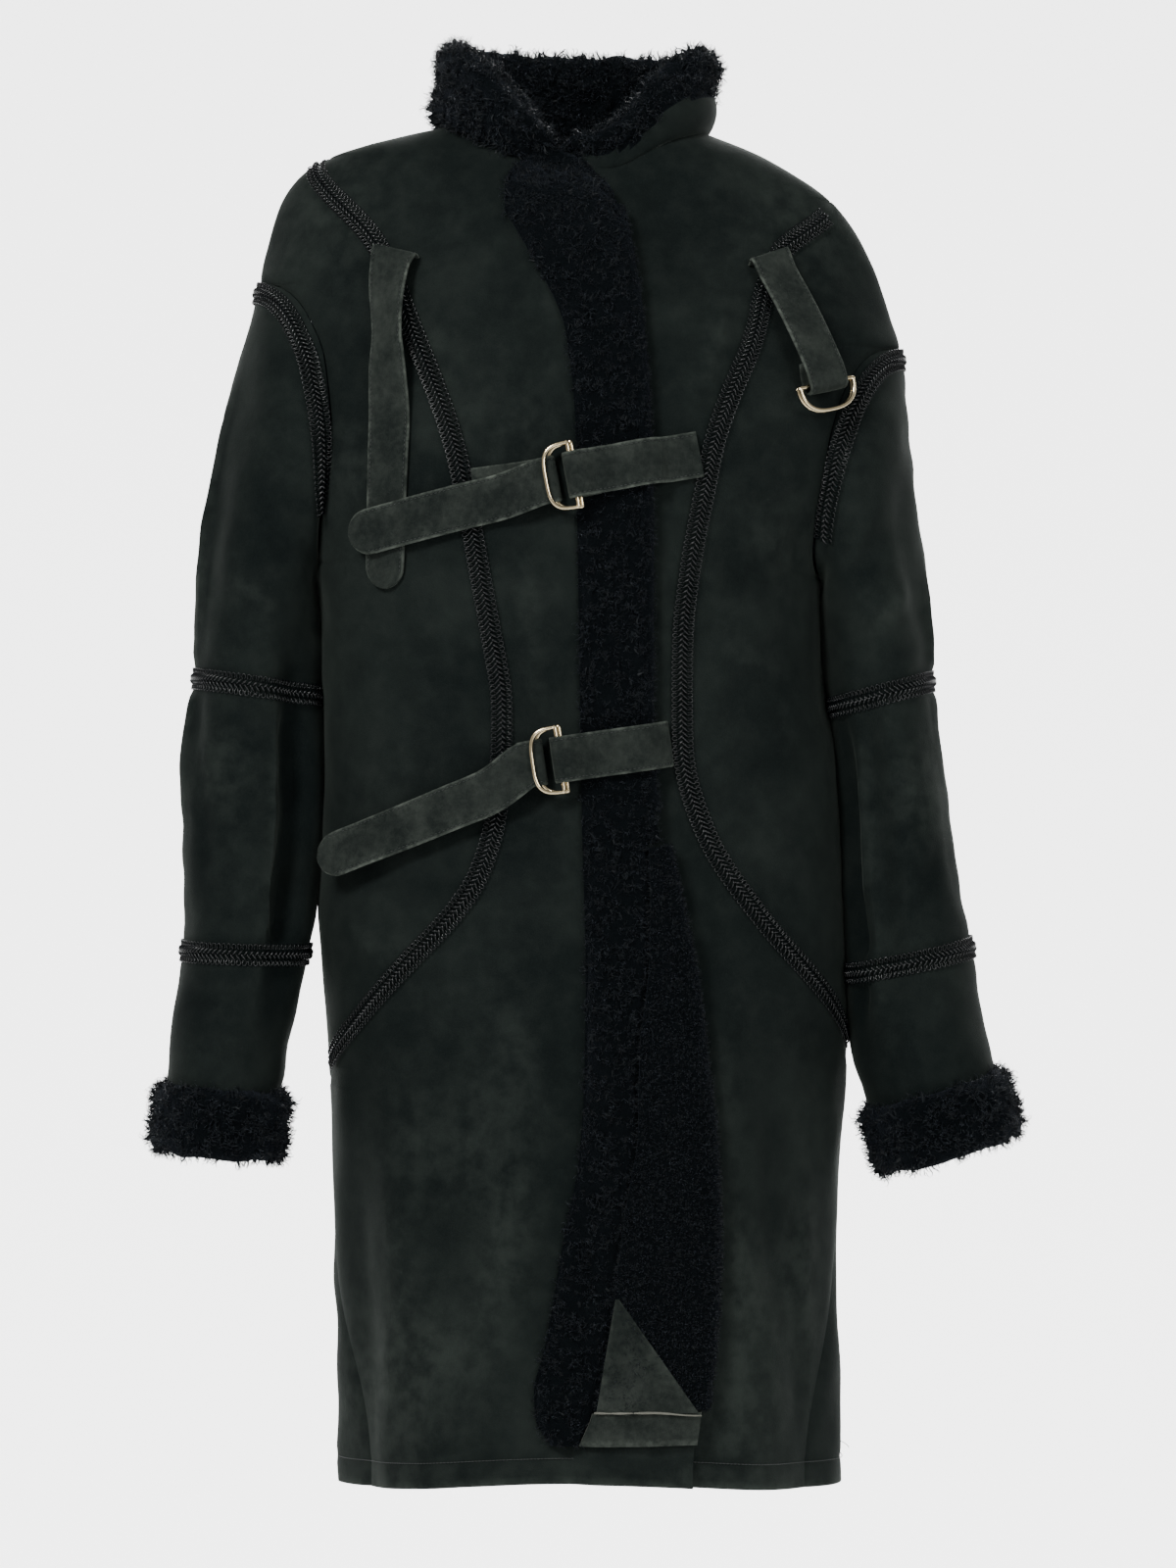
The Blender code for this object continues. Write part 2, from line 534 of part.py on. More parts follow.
def add_wall(name, material, rows, closed=False):
    """Make a wall from rows of (outer point, inner point); closed joins each row's ends."""
    count, width = len(rows), len(rows[0])
    points = [pair[0] for row in rows for pair in row] + [pair[1] for row in rows for pair in row]
    half = count * width

    def at(i, j, inner):
        return i * width + j % width + (half if inner else 0)

    faces = []
    for i in range(count - 1):
        for j in range(width if closed else width - 1):
            for inner in (False, True):
                corners = [at(i, j, inner), at(i, j + 1, inner), at(i + 1, j + 1, inner),
                           at(i + 1, j, inner)]
                faces.append(corners if not inner else corners[::-1])
    for i in (0, count - 1):
        for j in range(width if closed else width - 1):
            faces.append([at(i, j, False), at(i, j, True), at(i, j + 1, True), at(i, j + 1, False)])
    if not closed:
        for j in (0, width - 1):
            for i in range(count - 1):
                faces.append([at(i, j, False), at(i + 1, j, False), at(i + 1, j, True),
                              at(i, j, True)])
    return add_mesh(name, material, points, faces)


def add_loft(name, material, sections, closed=False):
    """Make a solid through closed sections of equal point count, capped or joined at its ends."""
    size = len(sections[0])
    points = [p for section in sections for p in section]
    spans = len(sections) if closed else len(sections) - 1
    faces = []
    for i in range(spans):
        nxt = (i + 1) % len(sections)
        for j in range(size):
            k = (j + 1) % size
            faces.append([i * size + j, i * size + k, nxt * size + k, nxt * size + j])
    if not closed:
        faces.append(list(range(size)))
        faces.append([(len(sections) - 1) * size + j for j in range(size)][::-1])
    return add_mesh(name, material, points, faces)


def add_ring(name, frame, origin):
    """Make a D-ring from its plane's two directions; the origin is the middle of its bar."""
    along, outwards = frame
    half = RING_LENGTH / 2
    steps = 12
    bend = 2 / RING_SQUARENESS
    outline = []
    for k in range(1, steps):
        c, s = math.cos(math.pi * k / steps), math.sin(math.pi * k / steps)
        outline.append((math.copysign(half * abs(c) ** bend, c), RING_DEPTH * s ** bend))
    outline = [(half, 0.0012)] + outline + [(-half, 0.0012), (-half + 0.0014, 0.0), (0.0, 0.0),
                                            (half - 0.0014, 0.0)]
    curve = bpy.data.curves.new(name, "CURVE")
    curve.dimensions = "3D"
    curve.bevel_depth = RING_WIRE / 2
    curve.bevel_resolution = 2
    curve.use_fill_caps = True
    spline = curve.splines.new("POLY")
    spline.points.add(len(outline) - 1)
    for point, (a, b) in zip(spline.points, outline):
        point.co = (*(a * along + b * outwards), 1.0)
    spline.use_cyclic_u = True
    curve.materials.append(MADE_MATERIALS["gold_ring"])
    ring = bpy.data.objects.new(name, curve)
    ring.location = tuple(origin)
    PIECES.objects.link(ring)
    return ring


def round_end(stations):
    """Add a rounded end to a ribbon: stations that narrow along the last step's direction."""
    last, across, width = stations[-1]
    direction = unit(last - stations[-2][0])
    radius = STRAP_WIDTH / 2
    for share in ROUND_END:
        stations.append((last + direction * radius * share, across,
                         width * math.sqrt(1 - share ** 2)))
    return stations


def add_ribbon(name, material, stations, thickness=STRAP_THICK):
    """Make a flat strap from (middle, across direction, width)."""
    middles = [station[0] for station in stations]
    sections = []
    for i, (middle, across, width) in enumerate(stations):
        tangent = unit(middles[min(i + 1, len(middles) - 1)] - middles[max(i - 1, 0)])
        across = unit(across - np.dot(across, tangent) * tangent)
        face = np.cross(across, tangent)
        half, deep = across * width / 2, face * thickness / 2
        sections.append([middle + half + deep, middle - half + deep, middle - half - deep,
                         middle + half - deep])
    return add_loft(name, material, sections)


def add_band(name, surface, normal, path, width, closed=False):
    """Make a braid: three points across, laid on a surface along a path of its coordinates."""
    under = RING_BAND_UNDER if closed else BAND_UNDER
    rows = []
    count = len(path)
    for i, (u, v) in enumerate(path):
        before = path[(i - 1) % count] if closed or i > 0 else path[0]
        after = path[(i + 1) % count] if closed or i < count - 1 else path[-1]
        tangent = unit(surface(*after) - surface(*before))
        middle, out = surface(u, v), normal(u, v)
        across = unit(np.cross(out, tangent))
        step_u, step_v = 0.01, 0.004 if surface is body_point else 0.05
        side_u = (surface(u + step_u, v) - middle) / step_u
        side_v = (surface(u, v + step_v) - middle) / step_v
        solve = np.linalg.lstsq(np.stack([side_u, side_v], axis=1), across, rcond=None)[0]
        row = []
        for share in (-0.5, 0.0, 0.5):
            place = (u + solve[0] * width * share, v + solve[1] * width * share)
            base, away = surface(*place), normal(*place)
            row.append((base + away * (under + BAND_THICK), base + away * under))
        rows.append(row)
    if closed:
        sections = [[r[0][0], r[1][0], r[2][0], r[2][1], r[1][1], r[0][1]] for r in rows]
        return add_loft(name, "braid", sections, closed=True)
    return add_wall(name, "braid", rows)


# ---------------------------------------------------------------- body panels
def body_levels():
    """Return the levels of all body rows, with the armhole's own among them."""
    above = [NECK_LEVEL, -0.006, SEAM_TOP_LEVEL, -0.038, -0.062, -0.090]
    below = [-0.385, -0.430, -0.480, -0.530, -0.575, -0.615, -0.650, -0.685, -0.715, -0.751,
             -0.820, -0.890, -0.950, -1.005, HEM_LEVEL + 0.0002]
    return above + armhole_levels() + below


def panel_rows(levels, first_edge, last_edge, columns, lift=lambda point: 0.0, inner_lines=()):
    """Return wall rows between two edges; inner lines are columns that follow the first edge."""
    rows = []
    for level in levels:
        first, last = first_edge(level), last_edge(level)
        reach = np.linalg.norm(body_point((first + last) / 2, level)[:2])
        gap = SEAM_GAP / 2 / reach * (1 if last > first else -1)
        row = []
        angles = [first + gap] + [line(level) for line in inner_lines]
        start = angles[-1]
        angles += [start + (last - gap - start) * (j + 1) / columns for j in range(columns)]
        for angle in angles:
            base = body_point(angle, level)
            out = surface_normal(body_point, angle, level)
            up = lift(base)
            row.append((base + out * up, base + out * (up - WALL)))
        rows.append(row)
    return rows


def front_edge_angle(x_of):
    """Return a function that gives the angle of a front edge at a level."""
    rows = []
    for z in np.linspace(-0.030, -1.035, 26):
        angle, level = place_of(x_of(z), z)
        rows.append((level, angle))
    rows.append((NECK_LEVEL, rows[0][1]))
    rows.append((HEM_LEVEL, rows[-2][1]))
    return smooth_curve(rows)


def make_fronts():
    """Make the two centre fronts; the right one lies over the left one up to the fold line."""
    levels = body_levels()
    for side in ("right", "left"):
        def outer_edge(level, side=side):
            if level > SEAM_TOP_LEVEL + 0.0001:
                return side_line(side, False)
            if level < SEAM_END_LEVEL[side]:
                return skirt_seam(side, level)
            return SEAMS[side, False](level)
        if side == "right":
            fold = front_edge_angle(lambda z: FOLD_X(z))
            lines = [front_edge_angle(lambda z, d=d: FOLD_X(z) - d) for d in LAP_COLUMNS]
            rows = panel_rows(levels, fold, outer_edge, 5, lambda p: lap(p[0], p[2]), lines)
        else:
            hidden = front_edge_angle(hidden_edge_x)
            rows = panel_rows(levels, outer_edge, hidden, 6)
        add_wall("front_" + side, "suede", rows)


def make_back():
    """Make the back, from one braided seam to the other and to the skirt's side seams."""
    def edge(side):
        def angle(level):
            if level > SEAM_TOP_LEVEL + 0.0001:
                return side_line(side, True)
            if level < SEAM_END_LEVEL[side]:
                return skirt_seam(side, level) + (2 * math.pi if side == "left" else 0.0)
            return SEAMS[side, True](level)
        return angle
    add_wall("back", "suede", panel_rows(body_levels(), edge("right"), edge("left"), 11))


def make_sides():
    """Make the four side panels between the braided seams and the armholes or side lines."""
    for side in ("right", "left"):
        levels = [v for v in body_levels() if SEAM_TOP_LEVEL + 0.0001 > v >= SEAM_END_LEVEL[side]]
        levels[0] -= 0.001
        if levels[-1] > SEAM_END_LEVEL[side] + 0.001:
            levels.append(SEAM_END_LEVEL[side] + 0.001)
        for back in (False, True):
            rows = panel_rows(levels, SEAMS[side, back],
                              lambda level, s=side, b=back: edge_angle(s, b, level), 4)
            add_wall("side_%s_%s" % ("back" if back else "front", side), "suede", rows)


# ---------------------------------------------------------------- sleeves, cuffs and collar
def make_sleeves():
    """Make each sleeve in three lengths, with the braids' seams between them."""
    turns = [2 * math.pi * j / SLEEVE_COLUMNS for j in range(SLEEVE_COLUMNS)]
    for side in ("right", "left"):
        surface = SLEEVES[side]
        down = sleeve_end_down(side)
        half_gap = 0.004
        under = 0.24         # sections apart: the reach of a braid to either side of its seam
        lengths = (("upper", [half_gap * 2, 0.3, 0.6, 1, 2, 3, 4, 5, ELBOW - under,
                              ELBOW - half_gap]),
                   ("middle", [ELBOW + half_gap, ELBOW + under, 7, 8, 9, FOREARM - under,
                               FOREARM - half_gap]),
                   ("lower", [FOREARM + half_gap, FOREARM + under, 11, WRIST - half_gap]))
        for part, sections in lengths:
            rows = []
            for section in sections:
                row = []
                for turn in turns:
                    outer = surface(turn, section)
                    inwards = -sleeve_normal(side, turn, section)
                    if section < 0.1:
                        away = math.acos(max(min(math.cos(turn), 1.0), -1.0)) / math.pi
                        back = math.sin(turn) < 0
                        level = ((ARMHOLE_TOP + ARMHOLE_BOTTOM) / 2
                                 + (ARMHOLE_TOP - ARMHOLE_BOTTOM) / 2 * math.cos(turn))
                        body = surface_normal(body_point, ARMHOLES[side, back](away), level)
                        middle = sum(sleeve_ring(side, 0, t) for t in (0.0, math.pi)) / 2
                        inwards = unit(inwards - body + 0.8 * unit(middle - outer))
                    if section > WRIST - 0.1:
                        inwards = unit(inwards - np.dot(inwards, down) * down)
                    row.append((outer, outer + inwards * SLEEVE_WALL))
                rows.append(row)
            add_wall("sleeve_%s_%s" % (part, side), "suede", rows, closed=True)


def make_cuffs():
    """Make the two turned-back fur cuffs as thick rings below the sleeves' ends."""
    turns = [2 * math.pi * j / SLEEVE_COLUMNS for j in range(SLEEVE_COLUMNS)]
    for side in ("right", "left"):
        surface = SLEEVES[side]
        down = sleeve_end_down(side)
        sections = []
        for turn in turns:
            edge = surface(turn, WRIST)
            out = sleeve_normal(side, turn, WRIST)
            out = unit(out - np.dot(out, down) * down)
            sections.append([edge + out * a + down * b for a, b in CUFF_SECTION])
        add_loft("cuff_" + side, "curly_fur", sections, closed=True)


def make_collar():
    """Make the fur collar as a loft round the neck, open in front and turned out on the right."""
    def shoulder_under(angle, reach):
        """Return the height of the shoulder at a reach from the neck's middle."""
        levels = np.linspace(NECK_LEVEL, -0.060, 65)
        found = [body_point(angle, level) for level in levels]
        reaches = [math.hypot(point[0], point[1]) for point in found]
        return float(np.interp(reach, reaches, [point[2] for point in found]))

    columns = [smooth_curve([(row[0], row[k]) for row in COLLAR_SECTIONS]) for k in range(1, 5)]
    sections = []
    for degrees in np.linspace(COLLAR_SECTIONS[0][0], COLLAR_SECTIONS[-1][0], COLLAR_STEPS):
        height, lean, thick, hang = (column(degrees) for column in columns)
        angle = math.radians(degrees)
        seam = body_point(angle, NECK_LEVEL)
        out = unit(np.array((seam[0], seam[1], 0.0)))
        near, far = (shoulder_under(angle, math.hypot(seam[0], seam[1]) + share * thick) - seam[2]
                     for share in (0.20, 0.40))
        outline = ((-0.40 * thick, 0.0014), (0.02 * thick, 0.0014), (0.20 * thick, near + 0.0034),
                   (0.40 * thick, max(0.0030 - hang, far + 0.0040)),
                   (0.62 * thick + 0.5 * lean, 0.40 * height - 0.6 * hang),
                   (0.50 * thick + lean, 0.82 * height), (0.05 * thick + lean, height),
                   (-0.45 * thick + lean, 0.86 * height), (-0.55 * thick + 0.4 * lean, 0.45 * height))
        sections.append([seam + out * a + np.array((0.0, 0.0, b)) for a, b in outline])
    add_loft("collar", "curly_fur", sections)


# ---------------------------------------------------------------- turned-back front
def crown(z):
    """Return the strip's outer height at z, pressed down where a strap crosses it."""
    full, free = PRESS_REACH
    press = max(ease((free - abs(z - level)) / (free - full)) for level in STRAP_LEVELS)
    return STRIP_CROWN - (STRIP_CROWN - STRIP_PRESSED) * press


def layer_rows(levels, left_x, right_x, profile, columns):
    """Return wall rows of a layer over the right front; the profile gives inner and outer lift."""
    rows = []
    for z in levels:
        left, right = left_x(z), right_x(z)
        row = []
        for j in range(columns + 1):
            share = j / columns
            x = left + (right - left) * share
            inner, outer = profile(x, z, share)
            angle, level = place_of(x, z)
            row.append((lifted(angle, level, outer), lifted(angle, level, inner)))
        rows.append(row)
    return rows


def make_turned_front():
    """Make the turned-back front's pile face, its curly strip, patch and turned-up hem."""
    def strip_profile(x, z, share):
        inner = REVERS_INNER + lap(x, z) - LAP_LIFT
        round_off = 1 - abs(2 * share - 1) ** 4
        full = crown(z) - REVERS_INNER - STRIP_RIM
        return inner, inner + STRIP_RIM + full * round_off

    def strip_right(z):
        return FOLD_X(z) if z > STRIP_SEAM[0][1] else STRIP_SEAM_X(z)

    strip_levels = [z for z in np.linspace(STRIP_TOP, STRIP_BOTTOM, 25)
                    if all(abs(z - level) > PRESS_REACH[1] + 0.008 for level in STRAP_LEVELS)]
    strip_levels += [level + side * reach for level in STRAP_LEVELS for side in (-1, 1)
                     for reach in PRESS_REACH]
    strip_levels.sort(reverse=True)
    strip = layer_rows(strip_levels, STRIP_EDGE_X, strip_right, strip_profile, 4)
    add_wall("front_fur_strip", "curly_fur", strip)

    revers_levels = ([REVERS_TOP] + [z for z in strip_levels
                                     if REVERS_BOTTOM + 0.006 < z < REVERS_TOP - 0.006]
                     + [REVERS_BOTTOM])
    revers = layer_rows(revers_levels, lambda z: STRIP_SEAM_X(z) + 0.0012, FOLD_X,
                        lambda x, z, share: (REVERS_INNER + lap(x, z) - LAP_LIFT,
                                             REVERS_OUTER + lap(x, z) - LAP_LIFT), 3)
    add_wall("front_revers", "curly_fur", revers)

    turnup_levels = list(np.linspace(TURNUP_TOP, TURNUP_BOTTOM, 3))
    turnup = layer_rows(turnup_levels, lambda z: STRIP_SEAM_X(z) + 0.0004, FOLD_X,
                        lambda x, z, share: (REVERS_INNER + lap(x, z) - LAP_LIFT,
                                             REVERS_INNER + 0.0035 + lap(x, z) - LAP_LIFT), 4)
    add_wall("hem_turnup", "suede", turnup)

    def patch_side(corner):
        return lambda z: PATCH_APEX[0] + (corner[0] - PATCH_APEX[0]) * (
            (PATCH_APEX[1] - z) / (PATCH_APEX[1] - corner[1]))
    patch_levels = list(np.linspace(PATCH_APEX[1] - 0.004, PATCH_RIGHT[1], 6))
    patch = layer_rows(patch_levels, patch_side(PATCH_LEFT), patch_side(PATCH_RIGHT),
                       lambda x, z, share: (REVERS_OUTER + 0.0006 + lap(x, z) - LAP_LIFT,
                                            REVERS_OUTER + 0.0026 + lap(x, z) - LAP_LIFT), 3)
    add_wall("corner_patch", "suede", patch)


# ---------------------------------------------------------------- braids
def make_braids():
    """Lay the braids over the front and back seams, the armholes and the sleeves' seams."""
    def body_out(u, v):
        return surface_normal(body_point, u, v)

    for side in ("right", "left"):
        for back in (False, True):
            levels = [SEAM_TOP_LEVEL - 0.008] + [v for v in body_levels()
                                                 if SEAM_TOP_LEVEL - 0.012 > v
                                                 > SEAM_END_LEVEL[side] + 0.024]
            levels.append(SEAM_END_LEVEL[side] + 0.020)
            path = [(SEAMS[side, back](v), v) for v in levels]
            add_band("braid_%s_%s" % ("back" if back else "front", side), body_point, body_out, path,
                     BRAID_WIDTH)
        surface = SLEEVES[side]

        def sleeve_out(u, v, side=side):
            return sleeve_normal(side, u, v)
        turns = [math.radians(a) for a in range(-126, 127, 14)]
        add_band("braid_armhole_" + side, surface, sleeve_out,
                 [(turn, ARMHOLE_BRAID_SECTION(abs(turn))) for turn in turns], BRAID_WIDTH)
        whole = [2 * math.pi * j / SLEEVE_COLUMNS for j in range(SLEEVE_COLUMNS)]
        for part, section in (("elbow", ELBOW), ("forearm", FOREARM)):
            add_band("braid_%s_%s" % (part, side), surface, sleeve_out,
                     [(turn, section) for turn in whole], BRAID_WIDTH, closed=True)


# ---------------------------------------------------------------- straps and rings
def across_at(normal, slope):
    """Return the direction across a strap whose line rises to the right by the slope."""
    right = np.array((math.cos(math.radians(slope)), 0.0, math.sin(math.radians(slope))))
    right = unit(right - np.dot(right, normal) * normal)
    return unit(np.cross(normal, right))


def strap_station(x, z, lift, slope, width=STRAP_WIDTH):
    """Return a ribbon station on the front."""
    point, normal = on_front(x, z, lift)
    return point, across_at(normal, slope), width


def turn_stations(x, z, lift, radius, slope, towards, count=6):
    """Return ribbon stations of a half turn from the upper to the lower layer."""
    stations = []
    for k in range(count + 1):
        angle = math.pi / 2 - math.pi * k / count
        shift = towards * radius * math.cos(angle)
        stations.append(strap_station(x + shift * math.cos(math.radians(slope)),
                                      z + shift * math.sin(math.radians(slope)),
                                      lift + radius * math.sin(angle), slope))
    return stations


def make_closure(name, plan):
    """Make one fastened strap: the strap with the rings, both rings and the folded-back tongue."""
    slope = plan["slope"]
    run = math.tan(math.radians(slope))
    loop_x, loop_z = plan["loop"]

    def along(distance):
        return loop_x + distance, loop_z + distance * run

    stations = []
    start_x, start_z = plan["start"]
    fold = FOLD_X(start_z)
    path = [(start_x, RING_STRAP_FOOT)]
    path += [(fold + distance, lift) for distance, lift in RING_STRAP_CLIMB]
    path += [(loop_x + distance, lift) for distance, lift in RING_STRAP_UPPER]
    for x, lift in path:
        share = (x - loop_x) / (start_x - loop_x)
        stations.append(strap_station(x, loop_z + (start_z - loop_z) * share, lift, slope))
    stations += turn_stations(loop_x, loop_z, LOOP_MIDDLE, LOOP_RADIUS, slope, -1, 8)
    stations += [strap_station(*along(distance), LOOP_LOW, slope) for distance in RING_STRAP_TAIL]
    add_ribbon("strap_%s_rings" % name, "strap", stations)

    for letter, bow_lift in (("a", BOW_A), ("b", BOW_B)):
        offset, bar_lift = BARS[letter]
        bar, normal = on_front(*along(offset), bar_lift)
        sweep = math.sqrt(RING_DEPTH ** 2 - (bow_lift - bar_lift) ** 2)
        bow, _ = on_front(*along(offset - sweep), bow_lift)
        add_ring("ring_%s_%s" % (name, letter), (across_at(normal, slope), unit(bow - bar)), bar)

    sweep_b = math.sqrt(RING_DEPTH ** 2 - (BOW_B - BARS["b"][1]) ** 2)
    bend_x, bend_z = along(BARS["b"][0] - sweep_b + TURN_AHEAD)
    low_x, low_z = plan["tongue_start"]
    low_slope = plan["tongue_slope"]
    stations = []
    for share in (0.0, 0.2, 0.4, 0.6, 0.8, 1.0):
        x, z = low_x + (bend_x - 0.001 - low_x) * share, low_z + (bend_z - low_z) * share
        turned = low_slope + (slope - low_slope) * share
        stations.append(strap_station(x, z, max(lap(x + 0.004, z) - 0.0002, lap(x, z))
                                      + TONGUE_LOW - LAP_LIFT, turned))
    half_turn = turn_stations(bend_x, bend_z, BOW_B, TONGUE_HIGH - BOW_B, slope, 1)[::-1]
    stations += half_turn[1:]
    bow_x = along(BARS["a"][0] - RING_DEPTH)[0]
    down = plan["turn_down"]
    stations.append(strap_station(bow_x, bend_z - 0.001, TONGUE_HIGH, slope))
    stations.append(strap_station(bow_x - 0.006, bend_z - 0.003, TONGUE_HIGH - 0.0004, down))
    for k, (x, z) in enumerate(plan["tongue"]):
        over = max(lap(x, z) + STRAP_CLEAR + STRAP_THICK * 1.5 + 0.0012, plan["stand_off"])
        stations.append(strap_station(x, z, over + 0.0004 * k, down))
    x, z = plan["tongue_end"]
    direction = unit(stations[-1][0] - stations[-2][0])
    reach = math.hypot(x - plan["tongue"][-1][0], z - plan["tongue"][-1][1]) - STRAP_WIDTH / 2
    last, across, width = stations[-1]
    stations.append((last + direction * max(reach, 0.004), across, width))
    add_ribbon("strap_%s_tongue" % name, "strap", round_end(stations))


def make_loose_straps():
    """Make the undone top strap: its hanging tongue, and the strap with two loose rings."""
    stations = []
    for x, z, lift in FREE_TONGUE:
        point, normal = on_front(x, z, lift)
        sideways = unit(np.cross(normal, np.array((0.0, 0.0, 1.0))))
        stations.append((point, sideways, STRAP_WIDTH * 0.98))
    add_ribbon("strap_top_tongue", "strap", round_end(stations))

    loop_x, loop_z, loop_lift = FREE_LOOP
    middle, normal = on_front(loop_x, loop_z, loop_lift)
    start, _ = on_front(*FREE_RING_STRAP[-1][:2], loop_lift)
    down = unit(middle - start)
    down = unit(down - np.dot(down, normal) * normal)
    sideways = unit(np.cross(normal, -down))
    stations = []
    for x, z, lift in FREE_RING_STRAP:
        point, out = on_front(x, z, lift)
        stations.append((point, sideways, STRAP_WIDTH))
    radius = FREE_LOOP_RADIUS
    stations.append((middle - down * 0.014 + normal * radius * 0.75, sideways, STRAP_WIDTH))
    for k in range(9):
        angle = math.pi / 2 - math.pi * k / 8
        stations.append((middle + down * radius * math.cos(angle) + normal * radius * math.sin(angle),
                         sideways, STRAP_WIDTH))
    stations.append((middle - down * 0.010 - normal * radius * 0.80, sideways, STRAP_WIDTH))
    stations.append((middle - down * 0.018 - normal * radius * 0.35, sideways, STRAP_WIDTH))
    add_ribbon("strap_top_rings", "strap", stations)
    for letter, side in (("a", 1), ("b", -1)):
        add_ring("ring_loose_" + letter, (sideways, np.array(down)),
                 middle + normal * side * FREE_RING_SPREAD)


# ---------------------------------------------------------------- the coat
PIECES = start_scene()
MADE_MATERIALS = {name: make_material(name) for name in MATERIALS}
make_fronts()
make_back()
make_sides()
make_sleeves()
make_cuffs()
make_collar()
make_turned_front()
make_braids()
for closure, closure_plan in CLOSURES.items():
    make_closure(closure, closure_plan)
make_loose_straps()
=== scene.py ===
"""Looks of the knee-length suede coat with curly pile inside: skins, fur, braids, straps and rings."""
import json
import math

import bpy
import numpy as np
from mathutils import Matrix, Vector

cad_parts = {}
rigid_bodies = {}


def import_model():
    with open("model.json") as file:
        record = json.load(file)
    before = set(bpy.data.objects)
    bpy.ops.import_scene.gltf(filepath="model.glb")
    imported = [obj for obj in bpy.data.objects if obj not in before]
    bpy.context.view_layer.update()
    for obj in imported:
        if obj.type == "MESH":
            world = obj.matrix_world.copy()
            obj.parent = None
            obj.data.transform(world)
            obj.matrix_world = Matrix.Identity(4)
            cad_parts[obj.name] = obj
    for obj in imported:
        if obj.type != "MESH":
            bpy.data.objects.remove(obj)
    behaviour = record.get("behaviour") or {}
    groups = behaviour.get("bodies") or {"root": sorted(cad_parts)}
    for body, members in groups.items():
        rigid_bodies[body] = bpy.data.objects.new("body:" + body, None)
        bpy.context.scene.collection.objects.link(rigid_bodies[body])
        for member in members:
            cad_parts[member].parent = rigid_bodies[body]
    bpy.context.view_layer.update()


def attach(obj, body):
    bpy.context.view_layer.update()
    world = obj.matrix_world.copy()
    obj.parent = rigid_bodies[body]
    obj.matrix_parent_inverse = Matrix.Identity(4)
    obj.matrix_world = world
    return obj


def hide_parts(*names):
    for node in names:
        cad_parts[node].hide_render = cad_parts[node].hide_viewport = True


bl_info = {
    "name": "Suede coat with curly fur", "version": (1, 0, 0), "blender": (4, 5, 0),
    "location": "3D View > Sidebar > Suede coat",
    "description": "Builds the suede skins, curly fur, gimp braids, straps and rings of a coat",
    "category": "Object",
}

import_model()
COAT = "coat"
SIDES = ("right", "left")
LOOSE = "loose_rings"

# Sizes of the cut
WALL = 0.0075            # suede and pile
SLEEVE_WALL = 0.0065
SEAM_SINK = 0.0016       # how deep the suede dips at a seam
LAP_LIFT = 0.0092
LAP_OVERLAP = 0.05
LAP_MARGIN = 0.012
LAP_RAMP = 0.032
LAP_STARTS = -0.075
LAP_GROWS = 0.06
LAP_FADE = (-0.034, 0.036)
REVERS_INNER = 0.0124
REVERS_OUTER = 0.017
STRIP_CROWN = 0.02
STRIP_RIM = 0.0025
STRIP_PRESSED = 0.0145
PRESS_REACH = (0.027, 0.042)
BAND_UNDER = 0.0018
RING_BAND_UNDER = 0.0013
STRAP_WIDTH = 0.035
STRAP_THICK = 0.003
RING_WIRE = 0.003
RING_LENGTH = 0.049
RING_DEPTH = 0.0205
RING_SQUARENESS = 3.5
FREE_RING_SPREAD = 0.0018
NECK_LEVEL = 0.004
HEM_LEVEL = -1.06
ARMHOLE_TOP = -0.12
ARMHOLE_BOTTOM = -0.345

# Body sections: level, half width on the wearer's right, on the wearer's left, depth in front,
# depth behind, roundness (2 is an ellipse, more is squarer).
BODY_SECTIONS = (
    (0.004, 0.106, 0.095, 0.07, 0.075, 2.0), (-0.006, 0.149, 0.149, 0.073, 0.079, 1.8),
    (-0.02, 0.199, 0.199, 0.078, 0.084, 1.7), (-0.039, 0.226, 0.226, 0.088, 0.094, 1.7),
    (-0.058, 0.238, 0.238, 0.096, 0.102, 1.75), (-0.085, 0.246, 0.246, 0.106, 0.112, 1.8),
    (-0.12, 0.253, 0.253, 0.116, 0.12, 1.9), (-0.16, 0.25, 0.25, 0.127, 0.126, 2.0),
    (-0.235, 0.235, 0.232, 0.138, 0.13, 2.1), (-0.29, 0.222, 0.208, 0.141, 0.127, 2.2),
    (-0.345, 0.209, 0.19, 0.139, 0.122, 2.3), (-0.4, 0.204, 0.19, 0.134, 0.116, 2.3),
    (-0.515, 0.203, 0.204, 0.13, 0.108, 2.3), (-0.61, 0.207, 0.209, 0.14, 0.122, 2.3),
    (-0.694, 0.201, 0.211, 0.148, 0.135, 2.3), (-0.75, 0.197, 0.209, 0.152, 0.14, 2.3),
    (-0.825, 0.194, 0.204, 0.158, 0.146, 2.3), (-0.903, 0.191, 0.201, 0.163, 0.151, 2.3),
    (-0.98, 0.187, 0.203, 0.168, 0.155, 2.3), (-1.06, 0.186, 0.203, 0.172, 0.158, 2.3),
)
# How far the wearer's left shoulder hangs below the right one: level, drop.
SHOULDER_DROP = (
    (0.004, 0.004), (-0.006, 0.016), (-0.02, 0.034), (-0.046, 0.058), (-0.066, 0.064),
    (-0.085, 0.062), (-0.12, 0.052), (-0.235, 0.03), (-0.345, 0.012), (-0.5, 0.0), (-1.06, 0.0),
)
NECK_DIP = 0.032
NECK_DIP_REACH = 0.116
HEM_RISE = 0.021
HEM_RISE_FROM = -0.88
